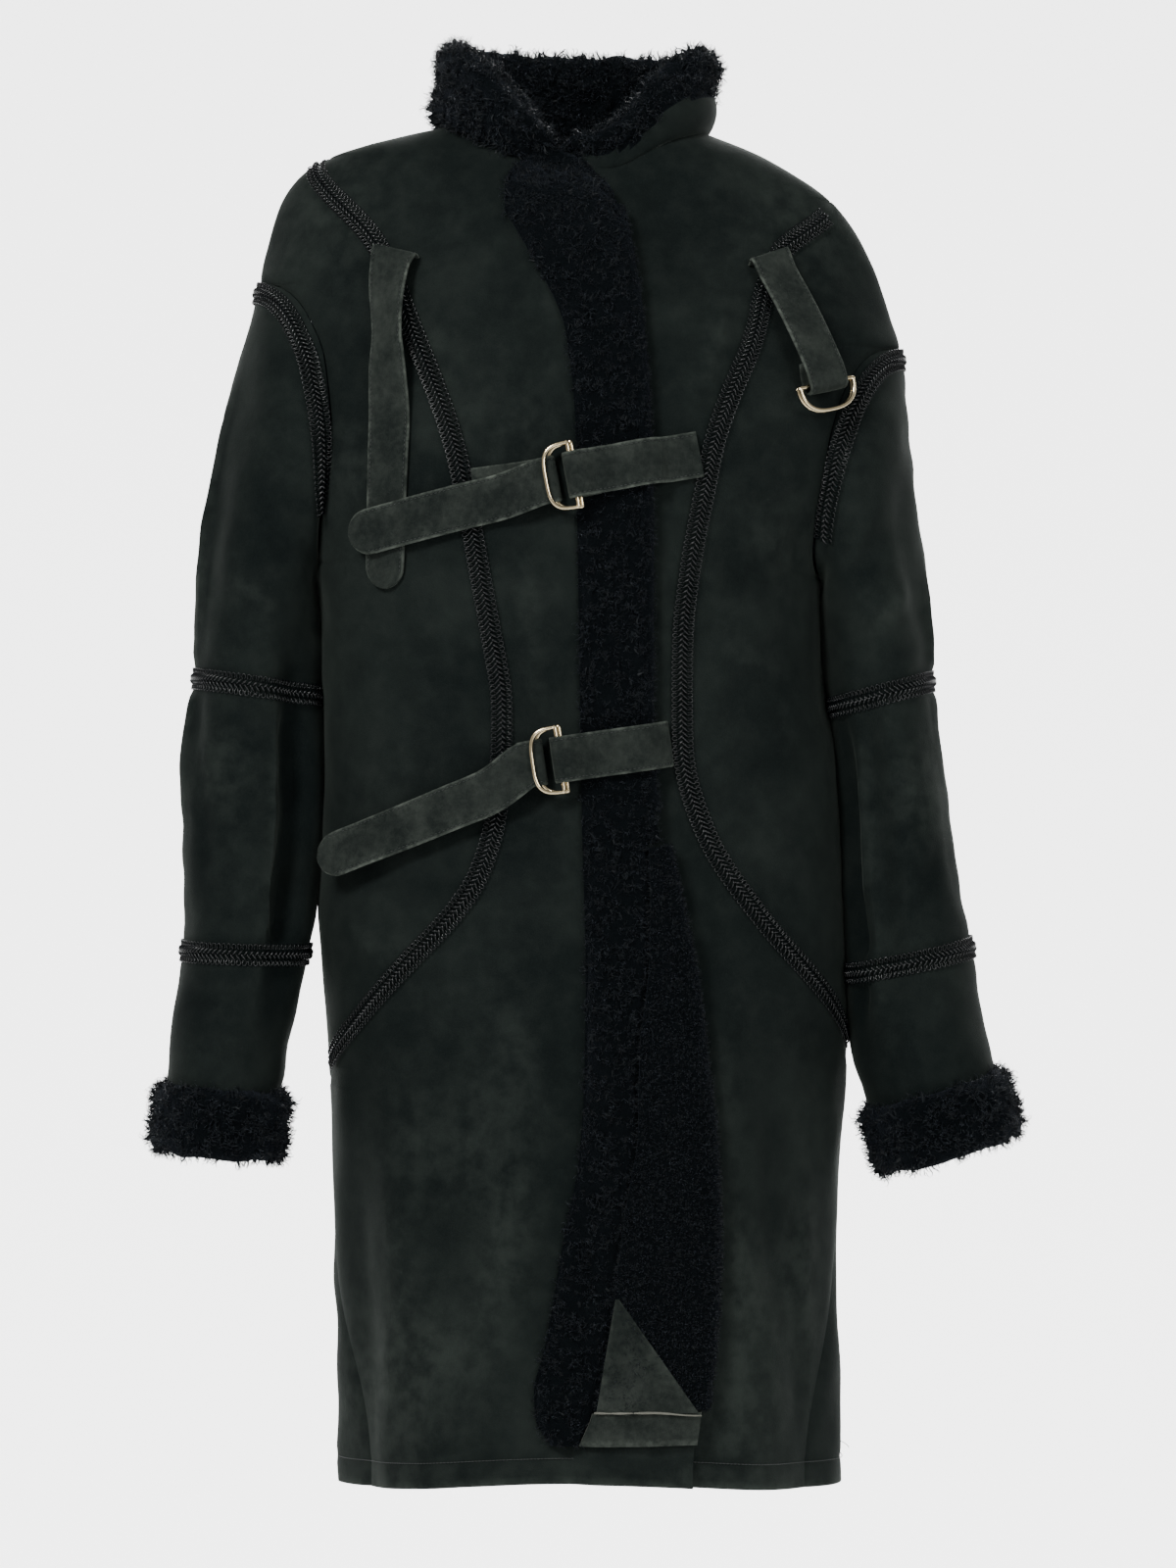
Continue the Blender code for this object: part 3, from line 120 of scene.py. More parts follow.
# Large soft folds: angle and half width in degrees, depth (out is positive), top and bottom level.
BODY_FOLDS = (
    (152, 7, -0.006, -0.6, -1.3), (168, 8, 0.005, -0.72, -1.3), (128, 9, 0.004, -0.78, -1.3),
    (30, 8, -0.006, -0.62, -1.3), (14, 7, 0.005, -0.74, -1.3), (48, 9, 0.004, -0.8, -1.3),
    (196, 9, -0.006, -0.7, -1.3), (222, 10, 0.007, -0.66, -1.3), (246, 9, -0.007, -0.56, -1.3),
    (270, 11, 0.007, -0.6, -1.3), (295, 9, -0.007, -0.58, -1.3), (320, 10, 0.006, -0.68, -1.3),
    (343, 8, -0.006, -0.74, -1.3),
)
# Seams under the braids, the fold line and edges of the turned-back front: x and z from the front.
SEAM_RIGHT = (
    (-0.155, -0.102), (-0.132, -0.157), (-0.09, -0.278), (-0.068, -0.396), (-0.059, -0.456),
    (-0.063, -0.537), (-0.0756, -0.582), (-0.135, -0.656), (-0.188, -0.721),
)
SEAM_LEFT = (
    (0.156, -0.102), (0.133, -0.172), (0.0986, -0.27), (0.0778, -0.404), (0.0778, -0.485),
    (0.095, -0.552), (0.139, -0.619), (0.197, -0.69),
)
SEAM_TOP_LEVEL = -0.02
SEAM_END_LEVEL = {"right": -0.751, "left": -0.735}
SEAM_END_ANGLE = 0.03
SIDE_SEAM_AT_HEM = 28.0
ARMHOLE = (
    (-0.253, 0.253), (-0.232, 0.233), (-0.211, 0.214), (-0.197, 0.2), (-0.1925, 0.1915),
    (-0.1955, 0.1855), (-0.202, 0.182), (-0.2055, 0.1845), (-0.209, 0.19),
)
FOLD_LINE = (
    (0.008, -0.034), (0.015, -0.045), (0.022, -0.066), (0.033, -0.11), (0.041, -0.162), (0.047, -0.241),
    (0.049, -0.346), (0.049, -0.441), (0.0515, -0.515), (0.066, -0.589), (0.081, -0.67), (0.087, -0.725),
    (0.093, -0.781), (0.096, -0.86), (0.0935, -0.925), (0.0876, -0.981), (0.084, -1.008), (0.082, -1.042),
)
STRIP_EDGE = (
    (-0.057, -0.078), (-0.035, -0.118), (-0.01, -0.177), (-0.003, -0.25), (-0.0015, -0.338),
    (0.0, -0.441), (0.0015, -0.544), (0.0044, -0.657), (0.0037, -0.725), (0.0, -0.792),
    (-0.0125, -0.86), (-0.027, -0.942), (-0.034, -0.97), (-0.033, -0.99), (-0.02, -1.012),
)
STRIP_SEAM = (
    (0.0495, -0.56), (0.051, -0.6), (0.05, -0.65), (0.0427, -0.72), (0.0415, -0.78), (0.034, -0.826),
    (0.025, -0.895), (0.021, -0.935), (0.015, -0.96), (0.008, -0.988), (-0.002, -1.012),
)
STRIP_BOTTOM = -1.012
REVERS_TOP, REVERS_BOTTOM = -0.585, -0.984
TURNUP_TOP, TURNUP_BOTTOM = -0.986, -1.01
PATCH_APEX = (0.0262, -0.898)
PATCH_LEFT = (0.0125, -0.982)
PATCH_RIGHT = (0.08, -0.98)
STRAP_LEVELS = (-0.283, -0.497)

# Sleeve sections from the armhole down: outer x and z, inner x and z, middle y, half depth, and how
# far the middle of the section bows towards the body.
SLEEVE_RIGHT = (
    (-0.262, -0.155, -0.207, -0.353, 0.0, 0.088, 0.022), (-0.275, -0.2, -0.208, -0.364, 0.0, 0.082, 0.012),
    (-0.287, -0.25, -0.205, -0.378, 0.0, 0.078, 0.006), (-0.298, -0.315, -0.203, -0.396, 0.0, 0.074, 0.0),
    (-0.3035, -0.365, -0.2005, -0.414, -0.002, 0.071, 0.0),
    (-0.304, -0.432, -0.2025, -0.446, -0.005, 0.069, 0.0),
    (-0.312, -0.484, -0.2005, -0.492, -0.009, 0.067, 0.0),
    (-0.3139, -0.539, -0.2, -0.543, -0.014, 0.064, 0.0),
    (-0.3116, -0.59, -0.2045, -0.592, -0.02, 0.061, 0.0),
    (-0.3112, -0.645, -0.213, -0.648, -0.027, 0.058, 0.0),
    (-0.318, -0.693, -0.2235, -0.697, -0.033, 0.056, 0.0),
    (-0.323, -0.748, -0.234, -0.756, -0.04, 0.054, 0.0),
)
SLEEVE_LEFT = (
    (0.2575, -0.21, 0.19, -0.366, 0.0, 0.086, 0.018), (0.262, -0.26, 0.1875, -0.377, 0.0, 0.081, 0.01),
    (0.266, -0.305, 0.1875, -0.39, 0.0, 0.077, 0.005), (0.2725, -0.352, 0.1875, -0.404, 0.0, 0.073, 0.0),
    (0.277, -0.395, 0.189, -0.421, -0.002, 0.07, 0.0), (0.2775, -0.434, 0.1945, -0.456, -0.005, 0.068, 0.0),
    (0.2837, -0.492, 0.1995, -0.503, -0.009, 0.066, 0.0),
    (0.289, -0.539, 0.203, -0.549, -0.014, 0.063, 0.0), (0.297, -0.593, 0.204, -0.603, -0.02, 0.06, 0.0),
    (0.307, -0.642, 0.208, -0.663, -0.027, 0.058, 0.0), (0.3147, -0.693, 0.211, -0.714, -0.033, 0.056, 0.0),
    (0.324, -0.738, 0.225, -0.768, -0.04, 0.054, 0.0),
)
ELBOW, FOREARM, WRIST = 6, 10, 12
# Sleeve folds: side, angle from the outside towards the front and half width in degrees, depth,
# first and last section.
SLEEVE_FOLDS = (
    ("right", 128, 16, -0.009, 4.5, 10.5), ("right", 40, 18, -0.005, 1.0, 6.0),
    ("right", 250, 20, -0.005, 4.0, 10.0), ("left", 112, 16, -0.009, 5.5, 11.0),
    ("left", 45, 18, -0.005, 1.5, 6.0), ("left", 250, 22, -0.004, 4.0, 10.0),
)
# Section of a turned-back cuff: outwards from the sleeve's face, and down from the sleeve's end.
CUFF_SECTION = (
    (-0.0065, -0.0056), (0.003, -0.0052), (0.009, -0.001), (0.0128, 0.011), (0.0136, 0.03),
    (0.0105, 0.048), (0.0045, 0.057), (-0.006, 0.054), (-0.0085, 0.03),
)
# Collar sections round the neck: angle in degrees (0 is the wearer's left, 90 the front, 270 the
# back), height, how far the top leans out, thickness, how far the outer edge hangs below the seam.
COLLAR_SECTIONS = (
    (103, 0.01, 0.0, 0.016, 0.0), (92, 0.02, 0.0, 0.018, 0.0), (78, 0.022, 0.001, 0.02, 0.0),
    (66, 0.028, 0.002, 0.022, 0.0), (54, 0.04, 0.004, 0.024, 0.0), (38, 0.06, 0.01, 0.026, 0.0),
    (20, 0.07, 0.014, 0.028, -0.001), (0, 0.07, 0.016, 0.028, -0.002), (-30, 0.072, 0.012, 0.028, -0.003),
    (-60, 0.076, 0.01, 0.028, -0.002), (-90, 0.078, 0.01, 0.028, -0.001),
    (-120, 0.076, 0.01, 0.028, -0.002), (-150, 0.074, 0.01, 0.028, -0.003),
    (-180, 0.072, 0.006, 0.03, -0.003), (-198, 0.07, 0.01, 0.034, 0.0), (-213, 0.062, 0.016, 0.038, 0.008),
    (-228, 0.048, 0.018, 0.038, 0.012), (-242, 0.03, 0.016, 0.032, 0.012),
    (-252, 0.016, 0.008, 0.022, 0.006),
)

# Fastened straps: x and z where the strap from the wearer's left starts, the middle of its loop, the
# slope in degrees of that strap, where the tongue starts, and the end of the tongue.
CLOSURES = {
    "upper": {
        "start": (0.0815, -0.2667), "loop": (-0.0037, -0.283), "slope": 10.6,
        "tongue_start": (-0.08, -0.2934), "tongue_slope": 4.0,
        "tongue": ((-0.06, -0.2985), (-0.09, -0.3055), (-0.125, -0.314), (-0.15, -0.32)),
        "tongue_end": (-0.1746, -0.3268), "turn_down": 13.0, "stand_off": 0.0062, "runs_on": 0.0085,
    },
    "lower": {
        "start": (0.066, -0.4845), "loop": (-0.0133, -0.496), "slope": 8.4,
        "tongue_start": (-0.045, -0.501), "tongue_slope": 6.0,
        "tongue": ((-0.066, -0.5205), (-0.095, -0.534), (-0.125, -0.5475), (-0.155, -0.5605)),
        "tongue_end": (-0.196, -0.579), "turn_down": 25.0, "stand_off": 0.013, "runs_on": 0.001,
    },
}
STRAP_CLEAR = 0.0011
LAYER_STEP = 0.0042
TURN_AHEAD = 0.001
LOOP_RADIUS = 0.0057
TONGUE_LOW = LAP_LIFT + STRAP_CLEAR + STRAP_THICK / 2
BOW_B = TONGUE_LOW + LAYER_STEP
TONGUE_HIGH = BOW_B + LAYER_STEP
BOW_A = TONGUE_HIGH + LAYER_STEP
LOOP_LOW = STRIP_PRESSED + STRAP_CLEAR + STRAP_THICK / 2
LOOP_MIDDLE = LOOP_LOW + LOOP_RADIUS
BARS = {"a": (-0.0014, LOOP_MIDDLE + 0.0018), "b": (0.0014, LOOP_MIDDLE - 0.0018)}
# Hanging part of the undone tongue, and the undone ring strap: x, z and height over the coat.
FREE_TONGUE = (
    (-0.144, -0.235, 0.0036), (-0.1455, -0.27, 0.0026), (-0.147, -0.32, 0.0024), (-0.1478, -0.348, 0.0024),
)
FREE_RING_STRAP = ((0.15, -0.125, 0.0094), (0.16, -0.15, 0.0125), (0.169, -0.175, 0.017))
FREE_LOOP = (0.18, -0.21, 0.016)
FREE_LOOP_RADIUS = 0.0054
RING_STRAP_CLIMB = ((0.017, 0.005), (0.007, 0.015), (-0.006, LOOP_LOW + 0.0026))
RING_STRAP_UPPER = (
    (0.03, LOOP_LOW + 0.0006), (0.021, LOOP_LOW + 0.0036), (0.013, LOOP_LOW + 0.006),
    (0.0065, LOOP_MIDDLE + LOOP_RADIUS - 0.0008),
)
RING_STRAP_TAIL = (0.009, 0.0165)
RING_STRAP_FOOT = 0.003
ROUND_END = (0.45, 0.8, 0.97)


# Curves and surfaces
def smooth_curve(points):
    """Return y(x) through the points, smooth and never past them between two of them."""
    points = sorted(points)
    x = np.array([p[0] for p in points], float)
    y = np.array([p[1] for p in points], float)
    step = np.diff(x)
    rise = np.diff(y) / step
    slope = np.zeros(len(x))
    slope[0], slope[-1] = rise[0], rise[-1]
    for i in range(1, len(x) - 1):
        if rise[i - 1] * rise[i] > 0.0:
            weight = (2 * step[i] + step[i - 1], step[i] + 2 * step[i - 1])
            slope[i] = sum(weight) / (weight[0] / rise[i - 1] + weight[1] / rise[i])

    def value(at):
        at = np.clip(np.asarray(at, float), x[0], x[-1])
        i = np.clip(np.searchsorted(x, at) - 1, 0, len(step) - 1)
        t = (at - x[i]) / step[i]
        return ((1 + 2 * t) * (1 - t) ** 2 * y[i] + t * (1 - t) ** 2 * step[i] * slope[i]
                + t * t * (3 - 2 * t) * y[i + 1] + t * t * (t - 1) * step[i] * slope[i + 1])
    return value


def ease(t):
    """Rise smoothly from 0 to 1."""
    t = np.clip(t, 0.0, 1.0)
    return t * t * (3 - 2 * t)


def full_turn(count):
    """Return evenly spaced angles all the way round."""
    return np.linspace(0.0, 2 * math.pi, count, endpoint=False)


def unit(vector):
    """Return the vectors at length 1."""
    vector = np.asarray(vector, float)
    return vector / np.maximum(np.linalg.norm(vector, axis=-1, keepdims=True), 1e-12)


HALF_RIGHT, HALF_LEFT, DEPTH_FRONT, DEPTH_BACK, ROUNDNESS = (
    smooth_curve([(row[0], row[k]) for row in BODY_SECTIONS]) for k in range(1, 6))
DROP = smooth_curve(SHOULDER_DROP)


def fold_depth(angle, level):
    """Depth of the large folds at places on the body."""
    degrees = np.degrees(angle) % 360
    total = np.zeros(np.broadcast(angle, level).shape)
    for centre, half, depth, top, _ in BODY_FOLDS:
        away = (degrees - centre + 180) % 360 - 180
        total = total + depth * np.exp(-(away / half) ** 2) * ease((top - level) / 0.3)
    return total


def body_point(angle, level):
    """Return points of the body's outer surface at angles round it and levels."""
    angle, level = np.broadcast_arrays(np.asarray(angle, float), np.asarray(level, float))
    c, s = np.cos(angle), np.sin(angle)
    half = np.where(c < 0, HALF_RIGHT(level), HALF_LEFT(level))
    deep = np.where(s > 0, DEPTH_FRONT(level), DEPTH_BACK(level))
    power = ROUNDNESS(level)
    reach = (np.abs(c / half) ** power + np.abs(s / deep) ** power) ** (-1 / power)
    reach = reach + fold_depth(angle, level)
    front = np.maximum(s, 0.0) ** 2
    z = level - NECK_DIP * front * (1 - ease((NECK_LEVEL - level) / NECK_DIP_REACH))
    z = z - DROP(level) * np.maximum(c, 0.0) ** 1.2
    z = z + HEM_RISE * front * ease((HEM_RISE_FROM - level) / (HEM_RISE_FROM - HEM_LEVEL))
    return np.stack((reach * c, -reach * s, z), axis=-1)


def surface_normal(surface, u, v, step_u=0.004, step_v=0.001):
    """Return normals of a surface by small differences, with v rising and u going round."""
    along_u = surface(u + step_u, v) - surface(u - step_u, v)
    along_v = surface(u, v + step_v) - surface(u, v - step_v)
    return unit(np.cross(along_v, along_u))


def body_normal(angle, level):
    """Return the body's outward normals."""
    return surface_normal(body_point, angle, level)


def lifted(angle, level, lift):
    """Return the body's points, moved out by the lift."""
    return body_point(angle, level) + np.asarray(lift)[..., None] * body_normal(angle, level)


def place_of(x, z, back=False):
    """Return angles and levels of the points that are seen at x and z from the front or back."""
    x, z = np.broadcast_arrays(np.asarray(x, float), np.asarray(z, float))
    level, reach_x = z.copy(), x.copy()
    angle = np.zeros(x.shape)
    for _ in range(40):
        level = np.clip(level, HEM_LEVEL, NECK_LEVEL)
        half = np.where(reach_x < 0, HALF_RIGHT(level), HALF_LEFT(level))
        power = ROUNDNESS(level)
        share = np.minimum(np.abs(reach_x) / half, 0.9995)
        deep = DEPTH_BACK(level) if back else DEPTH_FRONT(level)
        y = deep * (1 - share ** power) ** (1 / power)
        angle = np.arctan2(-y if back else y, np.copysign(share * half, reach_x))
        found = body_point(angle, level)
        level = level + 0.7 * (z - found[..., 2])
        reach_x = reach_x + 0.7 * (x - found[..., 0])
    return angle % (2 * math.pi), np.clip(level, HEM_LEVEL, NECK_LEVEL)


def side_line(side, back):
    """Return the angle of the side line, counted on from the front or from the back."""
    if side == "right":
        return math.pi
    return 2 * math.pi if back else 0.0


def seam_curve(side, back):
    """Return the angle of a braided seam at a level."""
    inwards = (1 if side == "left" else -1) * (-1 if back else 1)
    ends = side_line(side, back) + inwards * SEAM_END_ANGLE
    rows = [(SEAM_TOP_LEVEL, ends), (SEAM_END_LEVEL[side], ends)]
    for x, z in (SEAM_RIGHT if side == "right" else SEAM_LEFT):
        angle, level = place_of(x, z, back)
        rows.append((float(level), float(angle)))
    return smooth_curve(rows)


SEAMS = {(side, back): seam_curve(side, back) for side in SIDES for back in (False, True)}
ARM_MIDDLE, ARM_HALF = (ARMHOLE_TOP + ARMHOLE_BOTTOM) / 2, (ARMHOLE_TOP - ARMHOLE_BOTTOM) / 2


def armhole_curve(side, back):
    """Return the angle of the armhole seam for a share of the way from its top to its bottom."""
    rows = []
    last = len(ARMHOLE) - 1
    for k, pair in enumerate(ARMHOLE):
        level = ARM_MIDDLE + ARM_HALF * math.cos(math.pi * k / last)
        x = pair[0 if side == "right" else 1]
        half = HALF_RIGHT(level) if side == "right" else HALF_LEFT(level)
        power = ROUNDNESS(level)
        deep = DEPTH_BACK(level) if back else DEPTH_FRONT(level)
        y = deep * (1 - min(abs(x) / half, 1.0) ** power) ** (1 / power)
        angle = math.atan2(-y if back else y, x) % (2 * math.pi)
        rows.append((k / last, side_line(side, back) if k in (0, last) else angle))
    return smooth_curve(rows)


ARMHOLES = {(side, back): armhole_curve(side, back) for side in SIDES for back in (False, True)}


def edge_angle(side, back, level):
    """Return where a side panel ends: at the armhole, or else at the side line."""
    within = (level < ARMHOLE_TOP) & (level > ARMHOLE_BOTTOM)
    share = np.arccos(np.clip((level - ARM_MIDDLE) / ARM_HALF, -1.0, 1.0)) / math.pi
    return np.where(within, ARMHOLES[side, back](share), side_line(side, back))


def skirt_seam(side, level):
    """Return the angle of the skirt's side seam, which drifts forwards down to the hem."""
    end = SEAM_END_LEVEL[side]
    drift = math.radians(SIDE_SEAM_AT_HEM) * ease((end - level) / (end - HEM_LEVEL))
    return math.pi - drift if side == "right" else drift


FOLD_X = smooth_curve([(z, x) for x, z in FOLD_LINE])
STRIP_EDGE_X = smooth_curve([(z, x) for x, z in STRIP_EDGE])
STRIP_SEAM_X = smooth_curve([(z, x) for x, z in STRIP_SEAM])
ARMHOLE_BRAID_SECTION = smooth_curve(((0.0, 0.3), (1.6, 0.45), (2.4, 0.7)))


def hidden_edge_x(z):
    """Return the x of the left front's hidden free edge."""
    return FOLD_X(z) + 0.0004 - LAP_OVERLAP * ease((LAP_STARTS - z) / LAP_GROWS)


def lap(x, z):
    """Return how far the right front stands off the body's surface."""
    fade = ease((LAP_FADE[0] - z) / LAP_FADE[1])
    full_from = FOLD_X(z) - LAP_OVERLAP - LAP_MARGIN
    return LAP_LIFT * fade * ease((x - full_from + LAP_RAMP) / LAP_RAMP)


def on_front(x, z, lift, back=False):
    """Return points over the front or back, and the normals there."""
    angle, level = place_of(x, z, back)
    return lifted(angle, level, lift), body_normal(angle, level)


def front_edge_angle(x_of):
    """Return a function that gives the angle of a front edge at a level."""
    heights = np.linspace(-0.03, -1.035, 60)
    angles, levels = place_of(x_of(heights), heights)
    rows = list(zip(levels, angles))
    return smooth_curve(rows + [(NECK_LEVEL, angles[0]), (HEM_LEVEL, angles[-1])])


def arm_place(side, turn):
    """Return the body's angle and level of the armhole at the sleeve's angles."""
    away = np.arccos(np.clip(np.cos(turn), -1.0, 1.0)) / math.pi
    angle = np.where(np.sin(turn) < 0, ARMHOLES[side, True](away), ARMHOLES[side, False](away))
    return angle, ARM_MIDDLE + ARM_HALF * np.cos(turn)


def sleeve_rings(side, turn):
    """Return the points of every sleeve section at the angles, sections first."""
    rings = [body_point(*arm_place(side, turn))]
    c, s = np.cos(turn), np.sin(turn)
    towards = 1 if side == "right" else -1
    for outer_x, outer_z, inner_x, inner_z, middle_y, depth, bow in (
            SLEEVE_RIGHT if side == "right" else SLEEVE_LEFT):
        x = (outer_x + inner_x) / 2 + (outer_x - inner_x) / 2 * c + towards * bow * s * s
        z = (outer_z + inner_z) / 2 + (outer_z - inner_z) / 2 * c
        rings.append(np.stack((x, middle_y - depth * s, z), axis=-1))
    return np.array(rings)


def sleeve_surface(side):
    """Return the sleeve's outer surface: angles round it, and sections counted from the armhole."""
    def point(turn, section):
        turn, section = np.broadcast_arrays(np.asarray(turn, float), np.asarray(section, float))
        shape = turn.shape
        turn, section = turn.ravel(), section.ravel()
        rings = sleeve_rings(side, turn)
        k = np.clip(section.astype(int), 0, WRIST - 1)
        t = (section - k)[:, None]
        pick = np.arange(len(turn))
        before, start, end, after = (rings[np.clip(k + d, 0, WRIST), pick] for d in (-1, 0, 1, 2))
        place = 0.5 * (2 * start + (end - before) * t
                       + (2 * before - 5 * start + 4 * end - after) * t * t
                       + (3 * start - before - 3 * end + after) * t ** 3)
        degrees = np.degrees(turn) % 360
        sink = np.zeros(len(turn))
        for name, centre, half, depth, first, last in SLEEVE_FOLDS:
            if name == side:
                away = (degrees - centre + 180) % 360 - 180
                sink += (depth * np.exp(-(away / half) ** 2)
                         * ease((section - first) / 1.5) * ease((last - section) / 1.5))
        outwards = place - sleeve_middle(side, section)
        outwards[:, 2] = 0.0
        place = place + sink[:, None] * unit(outwards)
        return place.reshape(shape + (3,))
    return point


def sleeve_middle(side, section):
    """Return the middle of the sleeve at sections."""
    middles = sleeve_rings(side, np.array((0.0, math.pi))).mean(axis=1)
    section = np.clip(section, 1.0, WRIST)
    return np.stack([np.interp(section, np.arange(WRIST + 1), middles[:, k]) for k in range(3)], axis=-1)


SLEEVES = {side: sleeve_surface(side) for side in SIDES}


def sleeve_normal(side, turn, section):
    """Return the outward normals of a sleeve."""
    section = np.clip(section, 0.02, WRIST - 0.02)
    normal = surface_normal(SLEEVES[side], turn, section, 0.03, 0.02)
    outwards = SLEEVES[side](turn, section) - sleeve_middle(side, section)
    outwards[..., 2] = 0.0
    return normal * np.sign((normal * outwards).sum(axis=-1, keepdims=True))


def sleeve_end_down(side):
    """Return the direction square to the sleeve's last ring, downwards."""
    ends = sleeve_rings(side, np.array((0.0, math.pi)))[WRIST]
    down = unit(np.cross(ends[0] - ends[1], np.array((0.0, 1.0, 0.0))))
    return down if down[2] < 0 else -down


# Creases, rubs and soft unevenness
# Creases of the body: back, points (x, z as seen), half width and depth in metres (out is positive).
BODY_CREASES = (
    (False, ((-0.205, -0.56), (-0.15, -0.585), (-0.095, -0.6), (-0.05, -0.602)), 0.011, -0.003),
    (False, ((-0.2, -0.615), (-0.15, -0.64), (-0.105, -0.64)), 0.01, 0.0022),
    (False, ((-0.125, -0.13), (-0.11, -0.2), (-0.086, -0.262)), 0.012, 0.0026),
    (False, ((-0.175, -0.205), (-0.15, -0.262), (-0.135, -0.33)), 0.01, -0.002),
    (False, ((-0.05, -0.335), (-0.035, -0.4), (-0.032, -0.47)), 0.012, 0.0024),
    (False, ((-0.07, -0.625), (-0.045, -0.76), (-0.06, -0.9), (-0.08, -1.02)), 0.018, 0.0034),
    (False, ((-0.11, -0.7), (-0.1, -0.83), (-0.11, -0.96)), 0.014, -0.003),
    (False, ((-0.15, -0.79), (-0.14, -0.9), (-0.15, -1.01)), 0.012, 0.0026),
    (False, ((0.06, -0.33), (0.067, -0.4), (0.062, -0.47)), 0.009, 0.0022),
    (False, ((0.105, -0.33), (0.13, -0.36), (0.165, -0.372)), 0.01, -0.0024),
    (False, ((0.095, -0.395), (0.13, -0.42), (0.17, -0.43)), 0.009, 0.002),
    (False, ((0.11, -0.48), (0.15, -0.5), (0.19, -0.5)), 0.011, -0.0026),
    (False, ((0.12, -0.13), (0.1, -0.19), (0.075, -0.24)), 0.011, 0.0024),
    (False, ((0.12, -0.64), (0.105, -0.76), (0.118, -0.88), (0.125, -1.01)), 0.014, 0.0036),
    (False, ((0.15, -0.7), (0.145, -0.83), (0.158, -0.98)), 0.012, -0.003),
    (False, ((0.175, -0.76), (0.172, -0.9), (0.182, -1.03)), 0.012, 0.0026),
    (True, ((-0.19, -0.56), (-0.11, -0.59), (-0.03, -0.57)), 0.014, -0.0034),
    (True, ((0.18, -0.545), (0.11, -0.58), (0.045, -0.585)), 0.013, -0.003),
    (True, ((-0.15, -0.44), (-0.08, -0.47), (-0.02, -0.46)), 0.012, 0.0028),
    (True, ((0.14, -0.42), (0.075, -0.45), (0.02, -0.47)), 0.011, 0.0026),
    (True, ((-0.13, -0.12), (-0.09, -0.2), (-0.06, -0.29)), 0.014, -0.0026),
    (True, ((0.13, -0.13), (0.085, -0.21), (0.055, -0.3)), 0.014, -0.0026),
    (True, ((-0.1, -0.65), (-0.085, -0.8), (-0.095, -1.0)), 0.016, 0.0036),
    (True, ((-0.03, -0.64), (-0.022, -0.82), (-0.034, -1.01)), 0.017, -0.0034),
    (True, ((0.06, -0.64), (0.07, -0.8), (0.062, -1.0)), 0.016, 0.0036),
    (True, ((0.13, -0.68), (0.142, -0.83), (0.138, -1.01)), 0.014, -0.003),
)
# Creases of the sleeves: side, points (degrees from the outside towards the front, section), half
# width and depth in metres.
SLEEVE_CREASES = (
    ("right", ((130, 4.0), (136, 7.5), (132, 9.4), (136, 11.6)), 0.0125, -0.014),
    ("right", ((108, 4.6), (112, 7.6), (109, 9.6), (112, 11.7)), 0.006, 0.0036),
    ("right", ((178, 3.4), (180, 6.0), (182, 8.2)), 0.02, 0.005),
    ("right", ((40, 5.2), (36, 6.6), (52, 8.2), (46, 9.6)), 0.0075, -0.0024),
    ("right", ((26, 1.2), (20, 3.0), (24, 5.0), (18, 7.0), (22, 10.8)), 0.0055, 0.0042),
    ("right", ((12, 1.6), (6, 3.0), (10, 5.0), (4, 7.0), (8, 10.4)), 0.0055, -0.0048),
    ("right", ((70, 2.6), (95, 3.0), (120, 3.1)), 0.009, -0.003),
    ("right", ((60, 4.3), (92, 4.4), (120, 4.2)), 0.008, 0.0026),
    ("right", ((55, 6.3), (75, 6.6), (92, 6.5)), 0.007, -0.0022),
    ("right", ((30, 10.5), (60, 10.8), (85, 10.7)), 0.007, -0.002),
    ("right", ((330, 4.8), (300, 5.2), (270, 5.1)), 0.009, -0.0034),
    ("right", ((335, 6.7), (300, 6.9), (262, 6.7)), 0.0085, 0.0028),
    ("right", ((325, 8.3), (295, 8.8), (250, 8.6)), 0.009, -0.003),
    ("right", ((205, 4.8), (230, 5.3), (260, 5.5)), 0.008, 0.0026),
    ("left", ((140, 4.6), (148, 8.2), (146, 9.6), (148, 11.7)), 0.0105, -0.012),
    ("left", ((124, 5.0), (128, 8.0), (126, 9.7), (128, 11.6)), 0.006, 0.0034),
    ("left", ((20, 1.6), (16, 3.4), (22, 5.4), (16, 7.6), (20, 10.6)), 0.0055, 0.004),
    ("left", ((6, 1.8), (2, 3.4), (8, 5.4), (2, 7.6), (6, 10.2)), 0.0055, -0.0046),
    ("left", ((58, 2.4), (88, 2.9), (118, 3.0)), 0.009, -0.003),
    ("left", ((48, 3.9), (80, 4.3), (112, 4.4)), 0.008, 0.0028),
    ("left", ((45, 5.0), (70, 5.3), (100, 5.2)), 0.008, -0.0026),
    ("left", ((40, 8.3), (58, 8.7), (70, 9.2)), 0.0075, -0.0024),
    ("left", ((330, 4.8), (300, 5.2), (268, 5.0)), 0.009, -0.0034),
    ("left", ((332, 6.6), (296, 7.0), (258, 6.8)), 0.0085, 0.0028),
    ("left", ((326, 8.6), (290, 8.9), (252, 8.8)), 0.009, -0.003),
)
CREASE_STEPS = 14        # pieces that a crease's line is cut into
CREASE_TAPER = 0.35      # share of its length over which a crease fades at either end
